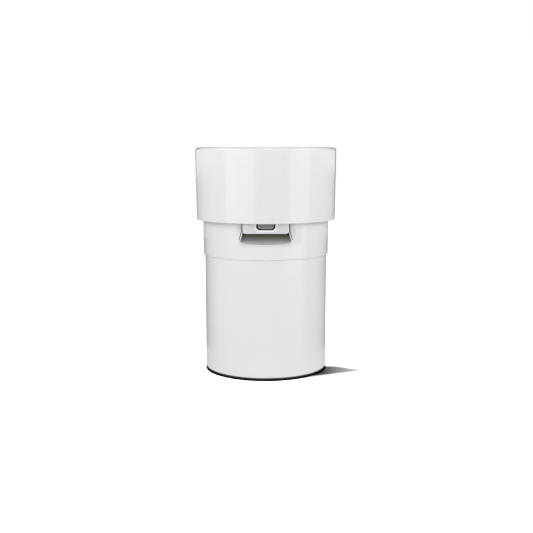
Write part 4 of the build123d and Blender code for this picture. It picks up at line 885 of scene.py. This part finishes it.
# the painted shadow stays right of the base and narrows to a tip: each row is a measure of the
# place, where the light starts, and where it is full
lit = add_node(tree, "ShaderNodeValue")
lit.outputs["Value"].default_value = 0.0
for source, output, start, full in (
        (spot, "Y", -0.014, -0.004), (ahead, "Value", -0.104, -0.128),
        (behind, "Value", 0.054, 0.068), (spot, "X", 0.075, 0.050), (spot, "X", 0.088, 0.334)):
    edge = add_node(tree, "ShaderNodeMapRange", {
        "Value": (source, output), "From Min": start, "From Max": full})
    lit = add_node(tree, "ShaderNodeMath", {0: (edge, "Result"), 1: (lit, "Value")},
                   operation="MAXIMUM")
shade = add_node(tree, "ShaderNodeMapRange", {
    "Value": (lit, "Value"), "To Min": SEEN_IN_SHADE, "To Max": SEEN_IN_LIGHT})
# a thin ring under the front rim is painted black: a painted contact shadow
nearer = add_node(tree, "ShaderNodeVectorMath", {0: (where, "Object"), 1: (0, CONTACT_SHADOW_AHEAD, 0)},
                  operation="ADD")
reach = add_node(tree, "ShaderNodeVectorMath", {0: (nearer, "Vector")}, operation="LENGTH")
outside_contact_shadow = add_node(tree, "ShaderNodeMapRange", {
    "Value": (reach, "Value"), "From Min": CONTACT_SHADOW_INNER, "From Max": CONTACT_SHADOW_OUTER})
brightness = add_node(tree, "ShaderNodeMath", {0: (shade, "Result"), 1: (outside_contact_shadow, "Result")},
                      operation="MULTIPLY")
paint = add_node(tree, "ShaderNodeMix", {"Factor": (seen, "Is Camera Ray"), "A": FLOOR_PAINT,
                                         "B": (brightness, "Value")}, data_type="FLOAT")
matt = add_node(tree, "ShaderNodeBsdfDiffuse", {"Color": (paint, "Result")})
add_node(tree, "ShaderNodeOutputMaterial", {"Surface": (matt, "BSDF")})
print("floor:", 2 * FLOOR_HALF, "m wide")

# %% [markdown]
# ## World
#
# Round the floor the studio is white. The world is white for the camera, in reflections and
# through clear plastic, and a softer grey as a lamp: so bright a lamp on every side would wash out
# the shading.

# %% World
SKY_LIGHT, SKY_SEEN = 0.30, 1.0

world = bpy.data.worlds.new("white_studio")
bpy.context.scene.world = world
tree = empty_tree(world)
seen = add_node(tree, "ShaderNodeLightPath")
mirror = add_node(tree, "ShaderNodeMath", {
    0: (seen, "Is Camera Ray"), 1: (seen, "Is Glossy Ray")}, operation="MAXIMUM")
through = add_node(tree, "ShaderNodeMath", {
    0: (mirror, "Value"), 1: (seen, "Is Transmission Ray")}, operation="MAXIMUM")
lamp, white = (add_node(tree, "ShaderNodeBackground", {"Color": (1, 1, 1, 1), "Strength": strength})
               for strength in (SKY_LIGHT, SKY_SEEN))
either = add_node(tree, "ShaderNodeMixShader", {
    0: (through, "Value"), 1: (lamp, "Background"), 2: (white, "Background")})
add_node(tree, "ShaderNodeOutputWorld", {"Surface": (either, "Shader")})
print("world:", world.name)

# %% [markdown]
# ## Lamps
#
# White objects are lit from everywhere, or their round sides go grey. Here a large key stands low
# on the left, with a small lamp nearer and higher that favours the drum. A box and a high lamp lift
# the right side, and a front lamp fills the middle. All are area lamps, like soft boxes in a
# studio, because a wide source gives a wide soft band on the plastic.


# %% Lamps
def around(azimuth, distance, height):
    """A place at azimuth degrees from the camera's side, positive to the right, in metres."""
    return Vector((distance * sin(radians(azimuth)), -distance * cos(radians(azimuth)), height))


def soft_lamp(name, place, aim, width, height, power, colour):
    """An area lamp at place that points at aim, all in metres, power in watts."""
    data = bpy.data.lights.new(name, "AREA")
    data.shape = "RECTANGLE"
    data.size, data.size_y, data.energy, data.color = width, height, power, colour
    lamp = show(name, data)
    lamp.location = place
    lamp.rotation_euler = (Vector(aim) - place).to_track_quat("-Z", "Y").to_euler()


# each row: name, place, height that it points at, width, height, power and colour
for name, place, aim, width, height, power, colour in (
        ("key_left", (-42, 1.9, 0.5), 0.2, 1.75, 1.0, 7.2, (1.0, 1.0, 0.99)),
        ("near_left", (-62, 0.95, 0.85), 0.25, 0.7, 0.5, 3.9, (1.0, 1.0, 0.99)),
        ("front", (5, 2.2, 1.0), 0.2, 1.5, 1.0, 6.9, (1.0, 1.0, 1.0)),
        ("box_right", (55, 1.4, 0.45), 0.2, 0.95, 0.9, 3.5, (0.97, 0.985, 1.0)),
        ("high_right", (75, 1.4, 0.9), 0.2, 0.9, 0.9, 6.6, (0.98, 0.99, 1.0))):
    soft_lamp(name, around(*place), (0, 0, aim), width, height, power, colour)

# %% [markdown]
# ## Flags
#
# White on white also needs something dark beside it, or the edges melt into the background, so a
# studio stands black boards, called flags, just outside the frame. Here only reflections see them:
# they show as the thin grey line along each edge, and as the soft step where the right box ends.


# %% Flags
def curved_flag(name, start, end, distance, low, high):
    """A black board bent round the object from azimuth start to end, seen in reflections only."""
    steps = max(2, round(abs(end - start) / 10))
    rim = [around(start + (end - start) * i / steps, distance, 0) for i in range(steps + 1)]
    board = show(name, make_mesh(
        name, [(v.x, v.y, z) for z in (low, high) for v in rim],
        [(i, i + 1, steps + 2 + i, steps + 1 + i) for i in range(steps)], flag_black))
    board.visible_camera = board.visible_diffuse = False
    board.visible_transmission = board.visible_shadow = False


flag_black = bpy.data.materials.new("black_flag_cloth")
flag_black.use_nodes = True
cloth = flag_black.node_tree.nodes["Principled BSDF"]
cloth.inputs["Base Color"].default_value = (0.01, 0.01, 0.01, 1)
cloth.inputs["Roughness"].default_value = 0.9

# each row: name, first and last azimuth, distance, lower and upper edge
for row in (("low_flag_right", 60, 179, 0.2, 0.0, 0.19),
            ("low_flag_left", -90, -179, 0.2, 0.0, 0.19),
            ("high_flag_right", 142, 179, 0.6, 0.19, 0.6),
            ("high_flag_left", -148, -179, 0.6, 0.19, 0.6),
            ("back_flag", 120, 240, 0.5, 0.36, 0.8),
            ("front_flag", -75, 40, 0.3, 0.5, 0.9)):
    curved_flag(*row)
print("flags:", [o.name for o in bpy.data.objects if "_flag" in o.name])

# %% [markdown]
# ## Camera
#
# The view is from straight ahead and a little above, about 1.3 m away, with a slightly long
# lens, so that the drum's top edge is level with the eye and every ring below it bows downwards.

# %% Camera
CAMERA_PLACE = (0.00108, -1.3186, 0.332)
CAMERA_DIP = 7.56  # degrees below the horizon
LENS_MM, SENSOR_MM = 57.50, 36.0

camera_data = bpy.data.cameras.new("front_camera")
camera_data.sensor_width, camera_data.lens = SENSOR_MM, LENS_MM
camera = show("front_camera", camera_data)
camera.location = CAMERA_PLACE
camera.rotation_euler = (radians(90 - CAMERA_DIP), 0, 0)
bpy.context.scene.camera = camera
bpy.context.scene.view_settings.view_transform = "Standard"
print("camera at", tuple(camera.location))
